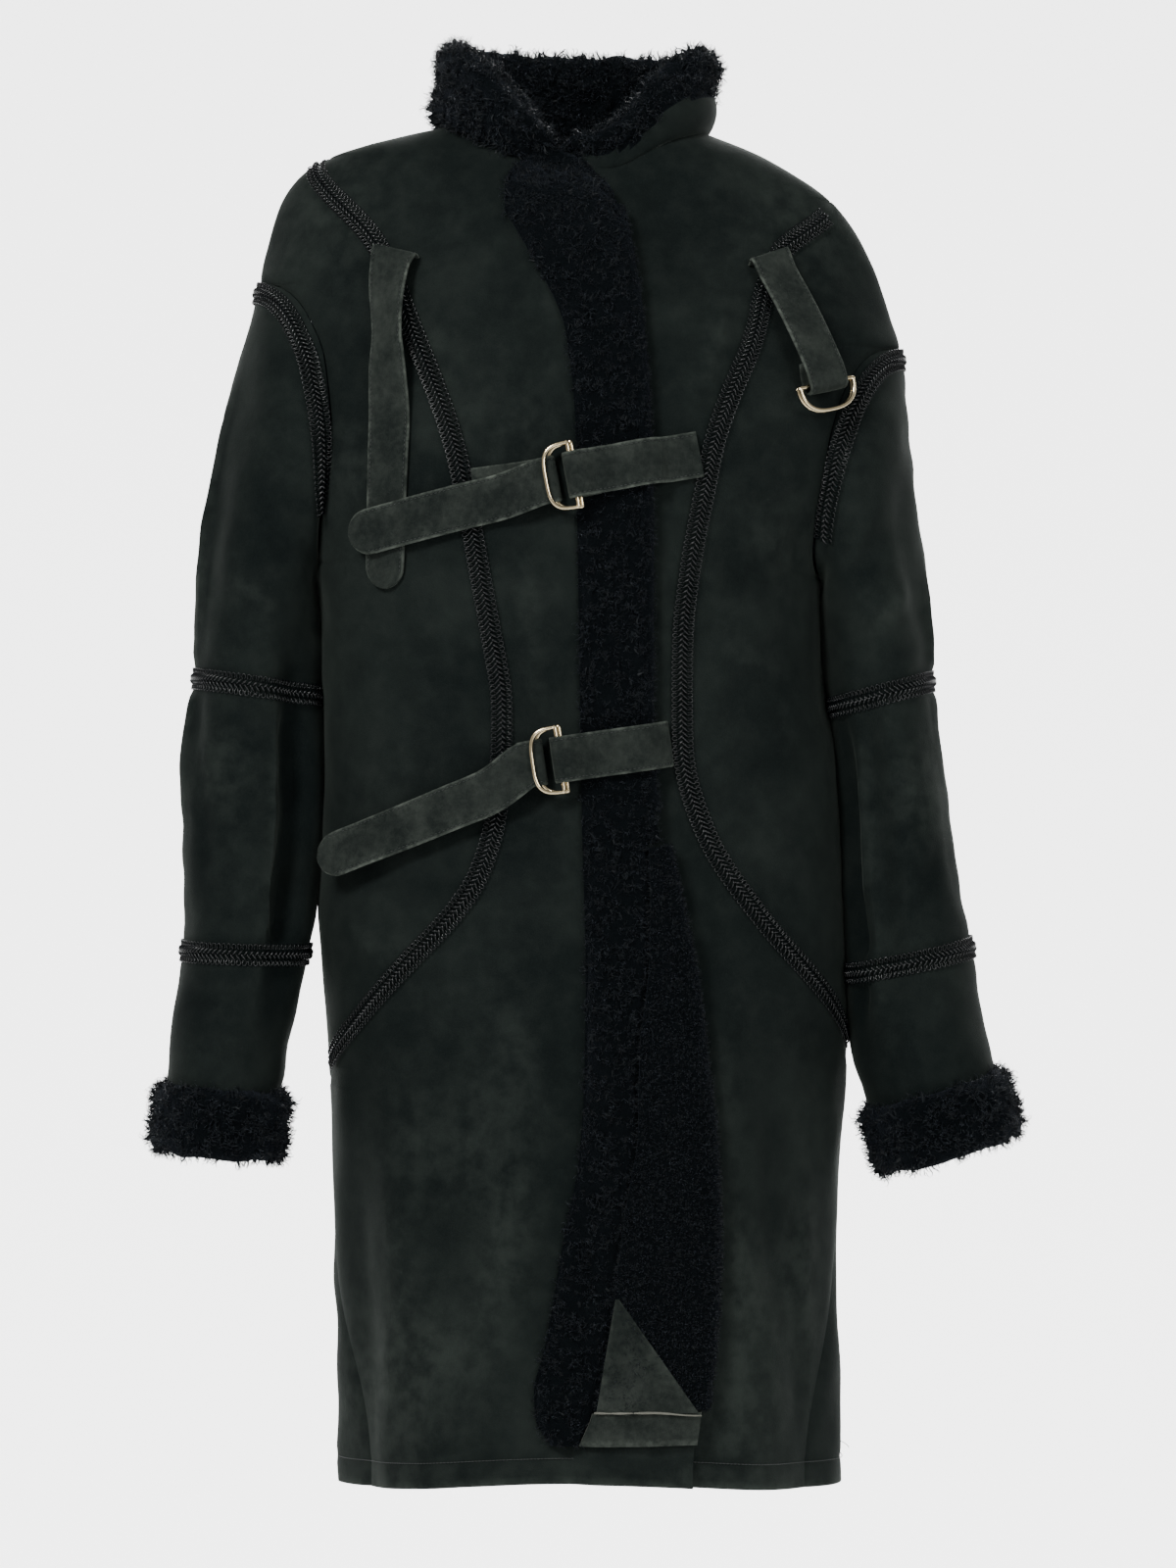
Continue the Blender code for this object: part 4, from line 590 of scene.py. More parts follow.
# Paler patches of rubbed suede: back, x and z as seen, half width, strength.
RUBBED = (
    (False, -0.095, -0.79, 0.04, 0.5), (False, -0.15, -0.985, 0.05, 0.55),
    (False, -0.11, -0.93, 0.035, 0.35), (False, 0.15, -0.9, 0.045, 0.35),
    (False, -0.28, -0.505, 0.03, 0.45), (False, 0.275, -0.52, 0.032, 0.5), (False, -0.17, -0.27, 0.03, 0.3),
    (False, 0.15, -0.33, 0.028, 0.3), (False, -0.195, -0.05, 0.05, 0.4), (False, 0.18, -0.065, 0.05, 0.4),
    (False, 0.12, -1.0, 0.04, 0.4), (False, -0.045, -0.25, 0.03, 0.25), (True, -0.06, -0.7, 0.07, 0.5),
    (True, 0.09, -0.76, 0.06, 0.5), (True, 0.0, -0.1, 0.08, 0.3), (True, -0.11, -0.98, 0.05, 0.4),
    (True, 0.06, -1.01, 0.06, 0.4), (True, -0.28, -0.52, 0.03, 0.45), (True, 0.275, -0.52, 0.032, 0.45),
)


def soft_noise(points, size, seed):
    """Return a soft random value from -1 to 1 at points, with bumps of the size."""
    rng = np.random.default_rng(seed)
    total = np.zeros(points.shape[:-1])
    for _ in range(14):
        direction = unit(rng.normal(size=3)) * 2 * math.pi / size * rng.uniform(0.55, 1.3)
        total = total + np.sin(points @ direction + rng.uniform(0, 2 * math.pi))
    return total / 5.0


def line_steps(points):
    """Return a smooth line through the points, with its share from 0 to 1."""
    points = np.array(points, float)
    share = np.linspace(0.0, 1.0, len(points))
    at = np.linspace(0.0, 1.0, CREASE_STEPS + 1)
    return np.stack(
        [smooth_curve(list(zip(share, points[:, k])))(at) for k in range(points.shape[1])], axis=-1,
    )


def crease_lines():
    """Return every crease as a line of points in space, with its half width and depth."""
    lines = []
    for back, points, half, depth in BODY_CREASES:
        line = line_steps(points)
        lines.append(("body", on_front(line[:, 0], line[:, 1], np.zeros(len(line)), back)[0], half, depth))
    for side, points, half, depth in SLEEVE_CREASES:
        line = line_steps(points)
        lines.append((side, SLEEVES[side](np.radians(line[:, 0]), line[:, 1]), half, depth))
    return lines


CREASES = crease_lines()


def crease_height(where, points):
    """Return how far creases move points of the body or of one sleeve, out of the surface."""
    total = np.zeros(len(points))
    for name, line, half, depth in CREASES:
        if name != where:
            continue
        lo, hi = line.min(axis=0) - 3 * half, line.max(axis=0) + 3 * half
        near = np.flatnonzero(((points > lo) & (points < hi)).all(axis=1))
        if not len(near):
            continue
        start, run = line[:-1], np.diff(line, axis=0)
        gone = points[near, None, :] - start[None]
        t = np.clip((gone * run).sum(axis=2) / (run ** 2).sum(axis=1), 0.0, 1.0)
        away = np.linalg.norm(gone - t[..., None] * run, axis=2)
        nearest = away.argmin(axis=1)
        pick = np.arange(len(near))
        share = (nearest + t[pick, nearest]) / len(run)
        taper = ease(share / CREASE_TAPER) * ease((1 - share) / CREASE_TAPER)
        uneven = 1.0 + 0.35 * soft_noise(points[near], 0.09, 5)
        total[near] += depth * uneven * taper * np.exp(-(away[pick, nearest] / half) ** 2)
    return total


def rub_value(points):
    """Return how rubbed the suede is at points."""
    total = np.zeros(len(points))
    for back, x, z, half, strength in RUBBED:
        facing = points[:, 1] > 0.0 if back else points[:, 1] <= 0.02
        away = np.hypot(points[:, 0] - x, (points[:, 2] - z) * 0.75) / half
        total += facing * 0.55 * strength * np.exp(-away ** 2)
    return total


# Mesh helpers
MADE = {}                # finished pieces by name
MATERIAL = {}            # materials by name
SHELL_SHARP = 50.0       # angle in degrees past which a shell's edges stay sharp


def link(obj):
    """Put an object into the scene's own collection."""
    bpy.context.scene.collection.objects.link(obj)
    return obj


def travelled(points):
    """Return how far along the line through the points each of them lies."""
    return np.concatenate([[0.0], np.cumsum(np.linalg.norm(np.diff(points, axis=0), axis=1))])


def smooth_line(points, count, closed=False):
    """Return a smooth line of evenly spaced points through the given ones."""
    points = np.array(points, float)
    n = len(points)
    spans = n if closed else n - 1
    at = np.linspace(0.0, spans, spans * 12 + 1)
    k = np.minimum(at.astype(int), spans - 1)
    t = (at - k)[:, None]

    def pick(d):
        return points[(k + d) % n] if closed else points[np.clip(k + d, 0, n - 1)]
    a, b, c, d = pick(-1), pick(0), pick(1), pick(2)
    fine = 0.5 * (2 * b + (c - a) * t + (2 * a - 5 * b + 4 * c - d) * t * t
                  + (3 * b - a - 3 * c + d) * t ** 3)
    gone = travelled(fine)
    wanted = np.linspace(0.0, gone[-1], count + 1)[:-1] if closed else np.linspace(0.0, gone[-1], count)
    return np.stack([np.interp(wanted, gone, fine[:, i]) for i in range(fine.shape[1])], axis=-1)


def grid_faces(rows, width, closed):
    """Return the quads of a grid of points; closed joins each row's ends."""
    i, j = np.meshgrid(np.arange(rows - 1), np.arange(width if closed else width - 1), indexing="ij")
    i, j = i.ravel(), j.ravel()
    k = (j + 1) % width
    return np.stack((i * width + j, i * width + k, (i + 1) * width + k, (i + 1) * width + j), axis=1)


def signed_volume(points, quads):
    """Return six times the volume inside the quads."""
    a, b, c, d = (points[quads[:, k]] for k in range(4))
    return float((a * np.cross(b, c)).sum() + (a * np.cross(c, d)).sum())


def new_object(name, points, faces, materials=(), indices=None, values=None, sharp=None):
    """Return a smooth object with material indices and named values at its points, not yet linked."""
    mesh = bpy.data.meshes.new(name)
    mesh.from_pydata(np.asarray(points).tolist(), [], faces)
    for material in materials:
        mesh.materials.append(MATERIAL[material])
    if indices is not None:
        mesh.polygons.foreach_set("material_index", indices)
    for label, value in (values or {}).items():
        mesh.attributes.new(label, "FLOAT", "POINT").data.foreach_set("value", value)
    mesh.shade_smooth()
    if sharp:
        mesh.set_sharp_from_angle(angle=math.radians(sharp))
    return bpy.data.objects.new(name, mesh)


def make_shell(name, outer, inner, materials, closed=False, rub=None, furred=False):
    """Make a closed shell from its outer and inner grids; the inner face has the second material."""
    rows, width = outer.shape[:2]
    half = rows * width
    skin = grid_faces(rows, width, closed)
    parts = [skin, skin[:, ::-1] + half]
    kinds = [np.zeros(len(skin), int), np.ones(len(skin), int)]
    ring = np.arange(width)
    nxt = (ring + 1) % width
    if not closed:
        ring, nxt = ring[:-1], nxt[:-1]
    for i in (0, rows - 1):
        rim = np.stack(
            (i * width + ring, i * width + ring + half, i * width + nxt + half, i * width + nxt), axis=1,
        )
        parts.append(rim if i == 0 else rim[:, ::-1])
    if not closed:
        down = np.arange(rows - 1)
        for j in (0, width - 1):
            rim = np.stack((down * width + j, (down + 1) * width + j, (down + 1) * width + j + half,
                            down * width + j + half), axis=1)
            parts.append(rim if j == 0 else rim[:, ::-1])
    kinds.append(np.ones(sum(len(part) for part in parts[2:]), int))
    quads = np.concatenate(parts)
    points = np.concatenate((outer.reshape(-1, 3), inner.reshape(-1, 3)))
    if signed_volume(points, quads) < 0:
        quads = quads[:, ::-1]
    values = {"rub": np.concatenate((np.zeros(half) if rub is None else rub, np.zeros(half)))}
    if furred:
        values["fur"] = np.repeat((1.0, 0.0), half)
    kinds = np.concatenate(kinds)
    return link(new_object(name, points, quads.tolist(), materials, kinds, values, SHELL_SHARP))


def make_tube_loft(name, sections, materials, closed=False, values=None, sharp=None):
    """Make a solid through closed sections, joined at its ends or capped by fans."""
    sections = np.array(sections)
    count, size = sections.shape[:2]
    points = sections.reshape(-1, 3)
    ring = np.arange(size)
    nxt = (ring + 1) % size
    spans = []
    for i in range(count if closed else count - 1):
        k = (i + 1) % count
        spans.append(np.stack((i * size + ring, i * size + nxt, k * size + nxt, k * size + ring), axis=1))
    quads = np.concatenate(spans)
    flip = signed_volume(points, quads) < 0
    faces = (quads[:, ::-1] if flip else quads).tolist()
    if not closed:
        first, last = ring.tolist(), (ring + (count - 1) * size).tolist()
        faces.append(first if flip else first[::-1])
        faces.append(last[::-1] if flip else last)
    return link(new_object(name, points, faces, materials, None, values, sharp))


def directions(line, closed=False):
    """Return the direction of a line at each of its points."""
    if closed:
        return unit(np.roll(line, -1, axis=0) - np.roll(line, 1, axis=0))
    return unit(np.gradient(line, axis=0))


def tube_points(line, radius, sides, normal_hint, closed=False):
    """Return the rings of a round tube along a line."""
    along = directions(line, closed)
    out = unit(np.cross(along, normal_hint))
    up = np.cross(out, along)
    turn = full_turn(sides)
    radius = np.broadcast_to(np.asarray(radius, float), (len(line),))
    return (line[:, None] + radius[:, None, None] * (np.cos(turn)[None, :, None] * out[:, None]
                                                     + np.sin(turn)[None, :, None] * up[:, None]))


# Materials
SUEDE_ROUGH, WORN_ROUGH = 0.88, 0.2


def new_node(tree, kind, inputs=None, **settings):
    """Add a node with its settings, and set or link its enabled inputs by name."""
    node = tree.nodes.new(kind)
    for key, value in settings.items():
        setattr(node, key, value)
    for name, value in (inputs or {}).items():
        set_input(tree, next(s for s in node.inputs if s.name == name and s.enabled), value)
    return node


def set_input(tree, target, value):
    """Set an input, or link it when the value is a socket."""
    if isinstance(value, bpy.types.NodeSocket):
        tree.links.new(value, target)
    else:
        target.default_value = value


def calculate(tree, first, second, operation="MULTIPLY", clamp=False):
    """Add a node that works out a value from two others, and return its output."""
    node = new_node(tree, "ShaderNodeMath", operation=operation, use_clamp=clamp)
    set_input(tree, node.inputs[0], first)
    set_input(tree, node.inputs[1], second)
    return node.outputs[0]


def add_sockets(tree, in_out, sockets):
    """Add named sockets of the given kinds to a tree's interface."""
    for label, kind in sockets.items():
        tree.interface.new_socket(label, in_out=in_out, socket_type="NodeSocket" + kind)


def out_of(node, name=None):
    """Return the enabled output with the name, or the first one."""
    return next(s for s in node.outputs if s.enabled and (name is None or s.name == name))


def nap_group():
    """Build the shader group for mottled, brushed nap: a colour and a height."""
    group = bpy.data.node_groups.new("Nap", "ShaderNodeTree")
    add_sockets(group, "INPUT", {
        "Dark": "Color", "Pale": "Color", "Rub": "Float", "Mottle Scale": "Float", "Grain Scale": "Float"})
    add_sockets(group, "OUTPUT", {"Color": "Color", "Height": "Float"})
    start, end = new_node(group, "NodeGroupInput"), new_node(group, "NodeGroupOutput")
    place = new_node(group, "ShaderNodeTexCoord").outputs["Object"]
    mottle = start.outputs["Mottle Scale"]

    def noise(scale, detail, rough):
        node = new_node(group, "ShaderNodeTexNoise", {
            "Vector": place, "Scale": scale, "Detail": detail, "Roughness": rough})
        return out_of(node, "Fac" if "Fac" in node.outputs else None)

    def spread(value, low, high, share):
        node = new_node(group, "ShaderNodeMapRange", {
            "Value": value, "From Min": low, "From Max": high}, interpolation_type="SMOOTHSTEP")
        return calculate(group, out_of(node, "Result"), share)
    large, grain = noise(mottle, 5.0, 0.62), noise(start.outputs["Grain Scale"], 3.0, 0.7)
    patch = noise(calculate(group, mottle, 7.0), 3.0, 0.6)
    tone = calculate(group, spread(large, 0.34, 0.78, 0.17), spread(patch, 0.36, 0.75, 0.06), "ADD")
    tone = calculate(group, tone, spread(grain, 0.3, 0.75, 0.07), "ADD")
    # The rub value pales the tone where the suede is rubbed; its negative values are painted shade in crease
    # troughs and darken it.
    rubbed = calculate(group, start.outputs["Rub"], spread(patch, 0.2, 0.7, 0.75))
    tone = calculate(group, tone, rubbed, "ADD", True)
    mix = new_node(group, "ShaderNodeMix", {
        "Factor": tone, "A": start.outputs["Dark"], "B": start.outputs["Pale"]}, data_type="RGBA")
    group.links.new(out_of(mix, "Result"), end.inputs["Color"])
    height = calculate(group, calculate(group, grain, 0.6), calculate(group, patch, 0.4), "ADD")
    group.links.new(height, end.inputs["Height"])
    return group


def start_material(name, roughness, metallic=0.0, sheen=0.0, sheen_tint=(1.0, 1.0, 1.0),
                   specular=0.5, viewport=(0.02, 0.02, 0.02)):
    """Start a Principled material and return it with its tree and shader."""
    material = bpy.data.materials.new(name)
    material.use_nodes = True
    material.diffuse_color = (*viewport, 1.0)
    shader = material.node_tree.nodes["Principled BSDF"]
    shader.inputs["Roughness"].default_value = roughness
    shader.inputs["Metallic"].default_value = metallic
    shader.inputs["Specular IOR Level"].default_value = specular
    shader.inputs["Sheen Weight"].default_value = sheen
    shader.inputs["Sheen Roughness"].default_value = 0.45
    shader.inputs["Sheen Tint"].default_value = (*sheen_tint, 1.0)
    MATERIAL[name] = material
    return material.node_tree, shader


def plain_material(name, roughness, value, **settings):
    """Make a material of one colour."""
    shader = start_material(name, roughness, viewport=value, **settings)[1]
    shader.inputs["Base Color"].default_value = (*value, 1.0)


def add_nap(tree, shader, dark, pale, rub, scales, strength, distance):
    """Feed the nap's colour and height into a shader."""
    nap = new_node(tree, "ShaderNodeGroup", {
        "Dark": (*dark, 1.0), "Pale": (*pale, 1.0), "Rub": rub, "Mottle Scale": scales[0],
        "Grain Scale": scales[1]}, node_tree=bpy.data.node_groups["Nap"])
    tree.links.new(nap.outputs["Color"], shader.inputs["Base Color"])
    bump = new_node(tree, "ShaderNodeBump", {
        "Strength": strength, "Distance": distance, "Height": nap.outputs["Height"]})
    tree.links.new(bump.outputs["Normal"], shader.inputs["Normal"])


def make_suede(name, dark, pale, scales, sheen=0.05):
    """Make a napped suede that is paler where its points are rubbed and shinier where they are worn."""
    tree, shader = start_material(
        name, SUEDE_ROUGH, sheen=sheen, sheen_tint=(0.72, 0.86, 0.74), specular=0.08, viewport=dark,
    )
    rub, worn = (new_node(tree, "ShaderNodeAttribute", attribute_name=label).outputs["Fac"]
                 for label in ("rub", "worn"))
    add_nap(tree, shader, dark, pale, rub, scales, 0.35, 0.0012)
    smooth = new_node(tree, "ShaderNodeMapRange", {
        "Value": worn, "To Min": SUEDE_ROUGH, "To Max": WORN_ROUGH})
    tree.links.new(out_of(smooth, "Result"), shader.inputs["Roughness"])


def make_fur(name, dark, pale, roughness, sheen):
    """Make a fur material whose locks differ in tone."""
    tree, shader = start_material(
        name, roughness, sheen=sheen, sheen_tint=(0.7, 0.8, 1.0), specular=0.14, viewport=dark,
    )
    tone = new_node(tree, "ShaderNodeAttribute", attribute_name="tone").outputs["Fac"]
    mix = new_node(tree, "ShaderNodeMix", {
        "Factor": tone, "A": (*dark, 1.0), "B": (*pale, 1.0)}, data_type="RGBA")
    tree.links.new(out_of(mix, "Result"), shader.inputs["Base Color"])


def make_pile(name, dark, pale, scale):
    """Make the matt woolly ground between the locks, and the pile inside the coat."""
    tree, shader = start_material(
        name, 0.97, sheen=0.04, sheen_tint=(0.6, 0.7, 0.9), specular=0.05, viewport=dark,
    )
    add_nap(tree, shader, dark, pale, 0.0, (scale / 3, scale), 0.9, 0.004)


def make_materials(looks):
    """Make every material of the coat from the look settings."""
    nap_group()
    make_suede("suede", looks.suede_dark, looks.suede_pale, (9.0, 900.0))
    make_suede("strap_suede", looks.strap_dark, looks.strap_pale, (30.0, 1100.0), 0.08)
    make_suede("raw_edge", looks.edge_dark, looks.edge_pale, (60.0, 900.0))
    make_pile("pile", looks.fur_dark, looks.fur_pale, 320.0)
    make_fur("locks", looks.fur_dark, looks.fur_pale, 0.55, 0.06)
    plain_material("gimp_cord", 0.24, looks.cord_colour, specular=0.38)
    plain_material("thread", 0.6, looks.thread_colour)
    plain_material("gold", 0.17, looks.gold_colour, metallic=1.0)


# Geometry nodes
def make_random(tree, kind, low, high, seed):
    """Add a random value node."""
    node = new_node(tree, "FunctionNodeRandomValue", {"Min": low, "Max": high, "Seed": seed}, data_type=kind)
    return out_of(node, "Value")


def start_tree(name, inputs):
    """Start a geometry node tree with named inputs."""
    tree = bpy.data.node_groups.new(name, "GeometryNodeTree")
    add_sockets(tree, "INPUT", {"Geometry": "Geometry"})
    add_sockets(tree, "OUTPUT", {"Geometry": "Geometry"})
    add_sockets(tree, "INPUT", inputs)
    return tree, new_node(tree, "NodeGroupInput").outputs


def finish_tree(tree, start, placed):
    """Place the instances at uneven sizes, give each a tone, realize them and set their material."""
    sizes = [calculate(tree, start["Size"], start["Uneven"], sign) for sign in ("SUBTRACT", "ADD")]
    place = new_node(tree, "GeometryNodeInstanceOnPoints", {
        **placed, "Scale": make_random(tree, "FLOAT", *sizes, start["Seed"])})
    store = new_node(tree, "GeometryNodeStoreNamedAttribute", {
        "Geometry": place.outputs["Instances"], "Name": "tone",
        "Value": make_random(tree, "FLOAT", 0.0, 1.0, start["Seed"])}, data_type="FLOAT", domain="INSTANCE")
    real = new_node(tree, "GeometryNodeRealizeInstances", {"Geometry": store.outputs["Geometry"]})
    paint = new_node(tree, "GeometryNodeSetMaterial", {
        "Geometry": real.outputs["Geometry"], "Material": start["Material"]})
    new_node(tree, "NodeGroupOutput", {"Geometry": paint.outputs["Geometry"]})


def lock_tree():
    """Build the tree that grows locks over a piece, thickest where its fur value is 1."""
    tree, start = start_tree("Grow locks", {
        "Locks": "Collection", "Density": "Float", "Seed": "Int", "Size": "Float", "Uneven": "Float",
        "Lean": "Float", "Material": "Material"})
    fur = new_node(tree, "GeometryNodeInputNamedAttribute", {"Name": "fur"}, data_type="FLOAT")
    scatter = new_node(tree, "GeometryNodeDistributePointsOnFaces", {
        "Mesh": start["Geometry"], "Seed": start["Seed"],
        "Density": calculate(tree, out_of(fur, "Attribute"), start["Density"])})
    locks = new_node(tree, "GeometryNodeCollectionInfo", {
        "Collection": start["Locks"], "Separate Children": True, "Reset Children": True})
    lean, back = start["Lean"], calculate(tree, start["Lean"], -1.0)
    low = new_node(tree, "ShaderNodeCombineXYZ", {"X": back, "Y": back})
    high = new_node(tree, "ShaderNodeCombineXYZ", {"X": lean, "Y": lean, "Z": 2 * math.pi})
    turn = new_node(tree, "FunctionNodeEulerToRotation", {
        "Euler": make_random(tree, "FLOAT_VECTOR", low.outputs[0], high.outputs[0], start["Seed"])})
    rotate = new_node(tree, "FunctionNodeRotateRotation", {
        "Rotation": scatter.outputs["Rotation"], "Rotate By": turn.outputs[0]}, rotation_space="LOCAL")
    finish_tree(tree, start, {
        "Points": scatter.outputs["Points"], "Instance": out_of(locks), "Pick Instance": True,
        "Rotation": rotate.outputs[0]})
    return tree


def lay_tree():
    """Build the tree that lays a motif at every point, along its line and out of its surface."""
    tree, start = start_tree("Lay motifs", {
        "Motif": "Object", "Size": "Float", "Uneven": "Float", "Seed": "Int", "Material": "Material"})
    dots = new_node(tree, "GeometryNodeMeshToPoints", {"Mesh": start["Geometry"]})
    rotation = {}
    for label, axis, pivot in (("out", "Z", "AUTO"), ("along", "X", "Z")):
        value = new_node(tree, "GeometryNodeInputNamedAttribute", {"Name": label}, data_type="FLOAT_VECTOR")
        align = new_node(tree, "FunctionNodeAlignRotationToVector", {
            **rotation, "Vector": out_of(value, "Attribute")}, axis=axis, pivot_axis=pivot)
        rotation = {"Rotation": align.outputs[0]}
    motif = new_node(tree, "GeometryNodeObjectInfo", {"Object": start["Motif"]})
    finish_tree(tree, start, {
        "Points": dots.outputs["Points"], "Instance": motif.outputs["Geometry"], **rotation})
    return tree


TREES = {}


def grow(name, host, tree, inputs):
    """Run a tree on a host object and return its result as a plain piece; the host stays bare."""
    modifier = host.modifiers.new("Grow", "NODES")
    modifier.node_group = TREES[tree]
    for item in TREES[tree].interface.items_tree:
        if item.item_type == "SOCKET" and item.in_out == "INPUT" and item.name in inputs:
            modifier[item.identifier] = inputs[item.name]
    bpy.context.view_layer.update()
    shaped = host.evaluated_get(bpy.context.evaluated_depsgraph_get())
    mesh = bpy.data.meshes.new_from_object(shaped)
    mesh.name = name
    host.modifiers.remove(modifier)
    return link(bpy.data.objects.new(name, mesh))


def lay(name, motif, points, along, out, material, size=1.0, uneven=0.0, seed=1):
    """Lay a motif at points, with directions along the line and out of the surface."""
    mesh = bpy.data.meshes.new(name + "_guide")
    mesh.from_pydata(np.asarray(points).tolist(), [], [])
    for label, value in (("along", along), ("out", out)):
        mesh.attributes.new(label, "FLOAT_VECTOR", "POINT").data.foreach_set(
            "vector", np.asarray(value, float).ravel())
    guide = link(bpy.data.objects.new(name + "_guide", mesh))
    piece = grow(name, guide, "lay", {"Motif": MADE[motif], "Size": size, "Uneven": uneven,
                                      "Seed": seed, "Material": MATERIAL[material]})
    bpy.data.objects.remove(guide)
    return piece


def grow_locks(name, host, density, seed, size, uneven, lean, locks="woolly"):
    """Grow fur locks on a piece that has a fur value at its points."""
    return grow(name, host, "locks", {
        "Locks": bpy.data.collections["locks_" + locks], "Density": density, "Seed": seed,
        "Size": size, "Uneven": uneven, "Lean": lean, "Material": MATERIAL["locks"]})


def settle(piece, body, replaces=()):
    """Say what a finished piece rides on, takes its finish from, replaces and is."""
    MADE[piece.name] = piece
    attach(piece, body)
    if replaces:
        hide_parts(*replaces)


# Motifs
LOCK_SHAPES = 7          # different locks of each kind


def lock_mesh(name, rng, hairs, height, spread, wave, width, steps):
    """Make one lock: narrow tapering ribbons that wave and fan out from a root."""
    points, faces = [], []
    for _ in range(hairs):
        turn = rng.uniform(0, 2 * math.pi)
        away = np.array((math.cos(turn), math.sin(turn), 0.0))
        side = np.array((-math.sin(turn), math.cos(turn), 0.0))
        tall = height * rng.uniform(0.7, 1.15)
        reach = spread * rng.uniform(0.2, 1.0)
        phase, bend = rng.uniform(0, 2 * math.pi), wave * rng.uniform(0.6, 1.3)
        root = away * spread * rng.uniform(0.0, 0.45) + side * spread * rng.uniform(-0.3, 0.3)
        curl = rng.uniform(1.2, 2.3) * math.pi
        for k in range(steps + 1):
            t = k / steps
            middle = (root + away * reach * t ** 1.4 + side * bend * math.sin(phase + curl * t) * t
                      + away * bend * math.cos(phase + curl * t) * t)
            middle = middle + np.array((0.0, 0.0, tall * math.sin(min(t * 1.9, 1.75)) / 0.985 - 0.0012))
            half = width * (1 - 0.85 * t) / 2
            twist = phase + 1.2 * t
            across = side * math.cos(twist) + away * math.sin(twist)
            if k < steps:
                points += [middle - across * half, middle + across * half]
            else:
                points.append(middle)
        first = len(points) - 2 * steps - 1
        for k in range(steps - 1):
            faces.append((first + 2 * k, first + 2 * k + 1, first + 2 * k + 3, first + 2 * k + 2))
        tip = first + 2 * steps
        faces.append((tip - 2, tip - 1, tip))
    return new_object(name, points, faces)


def make_locks():
    """Make the collections of locks: woolly curls, and the short upright pile of the turned edge."""
    rng = np.random.default_rng(21)
    kinds = {"woolly": (7, 0.0066, 0.0046, 0.0024, 0.001, 4), "short": (5, 0.0036, 0.0026, 0.001, 0.0008, 2)}
    for kind, (hairs, height, spread, wave, width, steps) in kinds.items():
        collection = bpy.data.collections.new("locks_" + kind)
        bpy.context.scene.collection.children.link(collection)
        for k in range(LOCK_SHAPES):
            collection.objects.link(lock_mesh("lock_%s_%d" % (kind, k), rng, hairs, height, spread,
                                              wave, width, steps))


def add_cord(parts, line, radius, sides=4):
    """Add a round cord to a list of (points, faces)."""
    rings = tube_points(line, radius, sides, np.array((0.0, 0.0, 1.0)))
    quads = grid_faces(len(rings), sides, True)
    parts.append((rings.reshape(-1, 3), quads))


def joined(name, parts):
    """Join lists of points and faces into one object."""
    points, faces, first = [], [], 0
    for some, quads in parts:
        points.append(some)
        faces += (quads + first).tolist()
        first += len(some)
    return link(new_object(name, np.concatenate(points), faces))


BRAID_REPEAT = 0.0041    # length of one repeat of the gimp braid
CORD = 0.00052           # half thickness of its cords


def make_motifs():
    """Make the braid's repeat and the stitch."""
    parts = []
    length = BRAID_REPEAT
    for side in (-1, 1):
        t = np.linspace(0.0, 1.0, 5)
        x = (side * 0.25 - 0.5) * length + t * length * 1.05
        y = side * (-0.0007 + 0.0048 * t)
        z = 0.0008 + 0.0018 * np.sin(math.pi * (0.1 + 0.85 * t))
        add_cord(parts, np.stack((x, y, z), axis=-1), 0.00095 * np.array((0.5, 1.0, 1.0, 0.9, 0.5)))
        turn = np.linspace(-0.85 * math.pi, 0.8 * math.pi, 9)
        x = 0.00155 * np.sin(turn)
        y = side * (0.0062 + 0.0021 * np.cos(turn))
        z = 0.0008 + 0.0009 * np.cos(turn * 0.5)
        add_cord(parts, np.stack((x, y, z), axis=-1), CORD)
    MADE["braid_repeat"] = joined("braid_repeat", parts)
    t = np.linspace(-1.0, 1.0, 4)
    line = np.stack((t * 0.0011, np.zeros(4), 0.00012 + 0.0002 * (1 - t * t)), axis=-1)
    parts = []
    add_cord(parts, line, np.array((0.0001, 0.00028, 0.00028, 0.0001)), 4)
    MADE["stitch"] = joined("stitch", parts)


def drop_motifs():
    """Remove the motifs, which aren't pieces themselves."""
    for collection in [c for c in bpy.data.collections if c.name.startswith("locks_")]:
        for obj in list(collection.objects):
            bpy.data.objects.remove(obj)
        bpy.data.collections.remove(collection)
    for label in ("braid_repeat", "stitch"):
        bpy.data.objects.remove(MADE.pop(label))


# Suede panels
SEAM_WIDTH = 0.0045      # of the dip along a seam
HEM_STITCH = 0.02       # stitch line above the hem
HEM_GROOVE = 0.0007
HEM_STITCHES = 420
SLEEVE_GIRTH = 0.34
CUFF_POINTS = (64, 28)       # round the wrist and round the cuff's section
COLLAR_POINTS = (120, 36)    # round the neck and round the collar's section
PILE_STEP, PATCH_STEP = 0.0045, 0.0035
BRAID_SINK = 0.0012      # how deep a braid's foot lies in the suede
STRAP_STEP = 0.0026


def level_rows(first, last, step):
    """Return levels so that neighbouring rows are about a step apart on the surface."""
    fine = np.linspace(first, last, 500)
    around = np.radians(np.array((0.0, 90.0, 180.0, 270.0, 45.0, 135.0)))
    places = body_point(around[:, None], fine[None, :])
    gone = np.linalg.norm(np.diff(places, axis=1), axis=2).max(axis=0)
    total = np.concatenate([[0.0], np.cumsum(gone)])
    count = max(int(total[-1] / step), 2) + 1
    return np.interp(np.linspace(0.0, total[-1], count), total, fine)


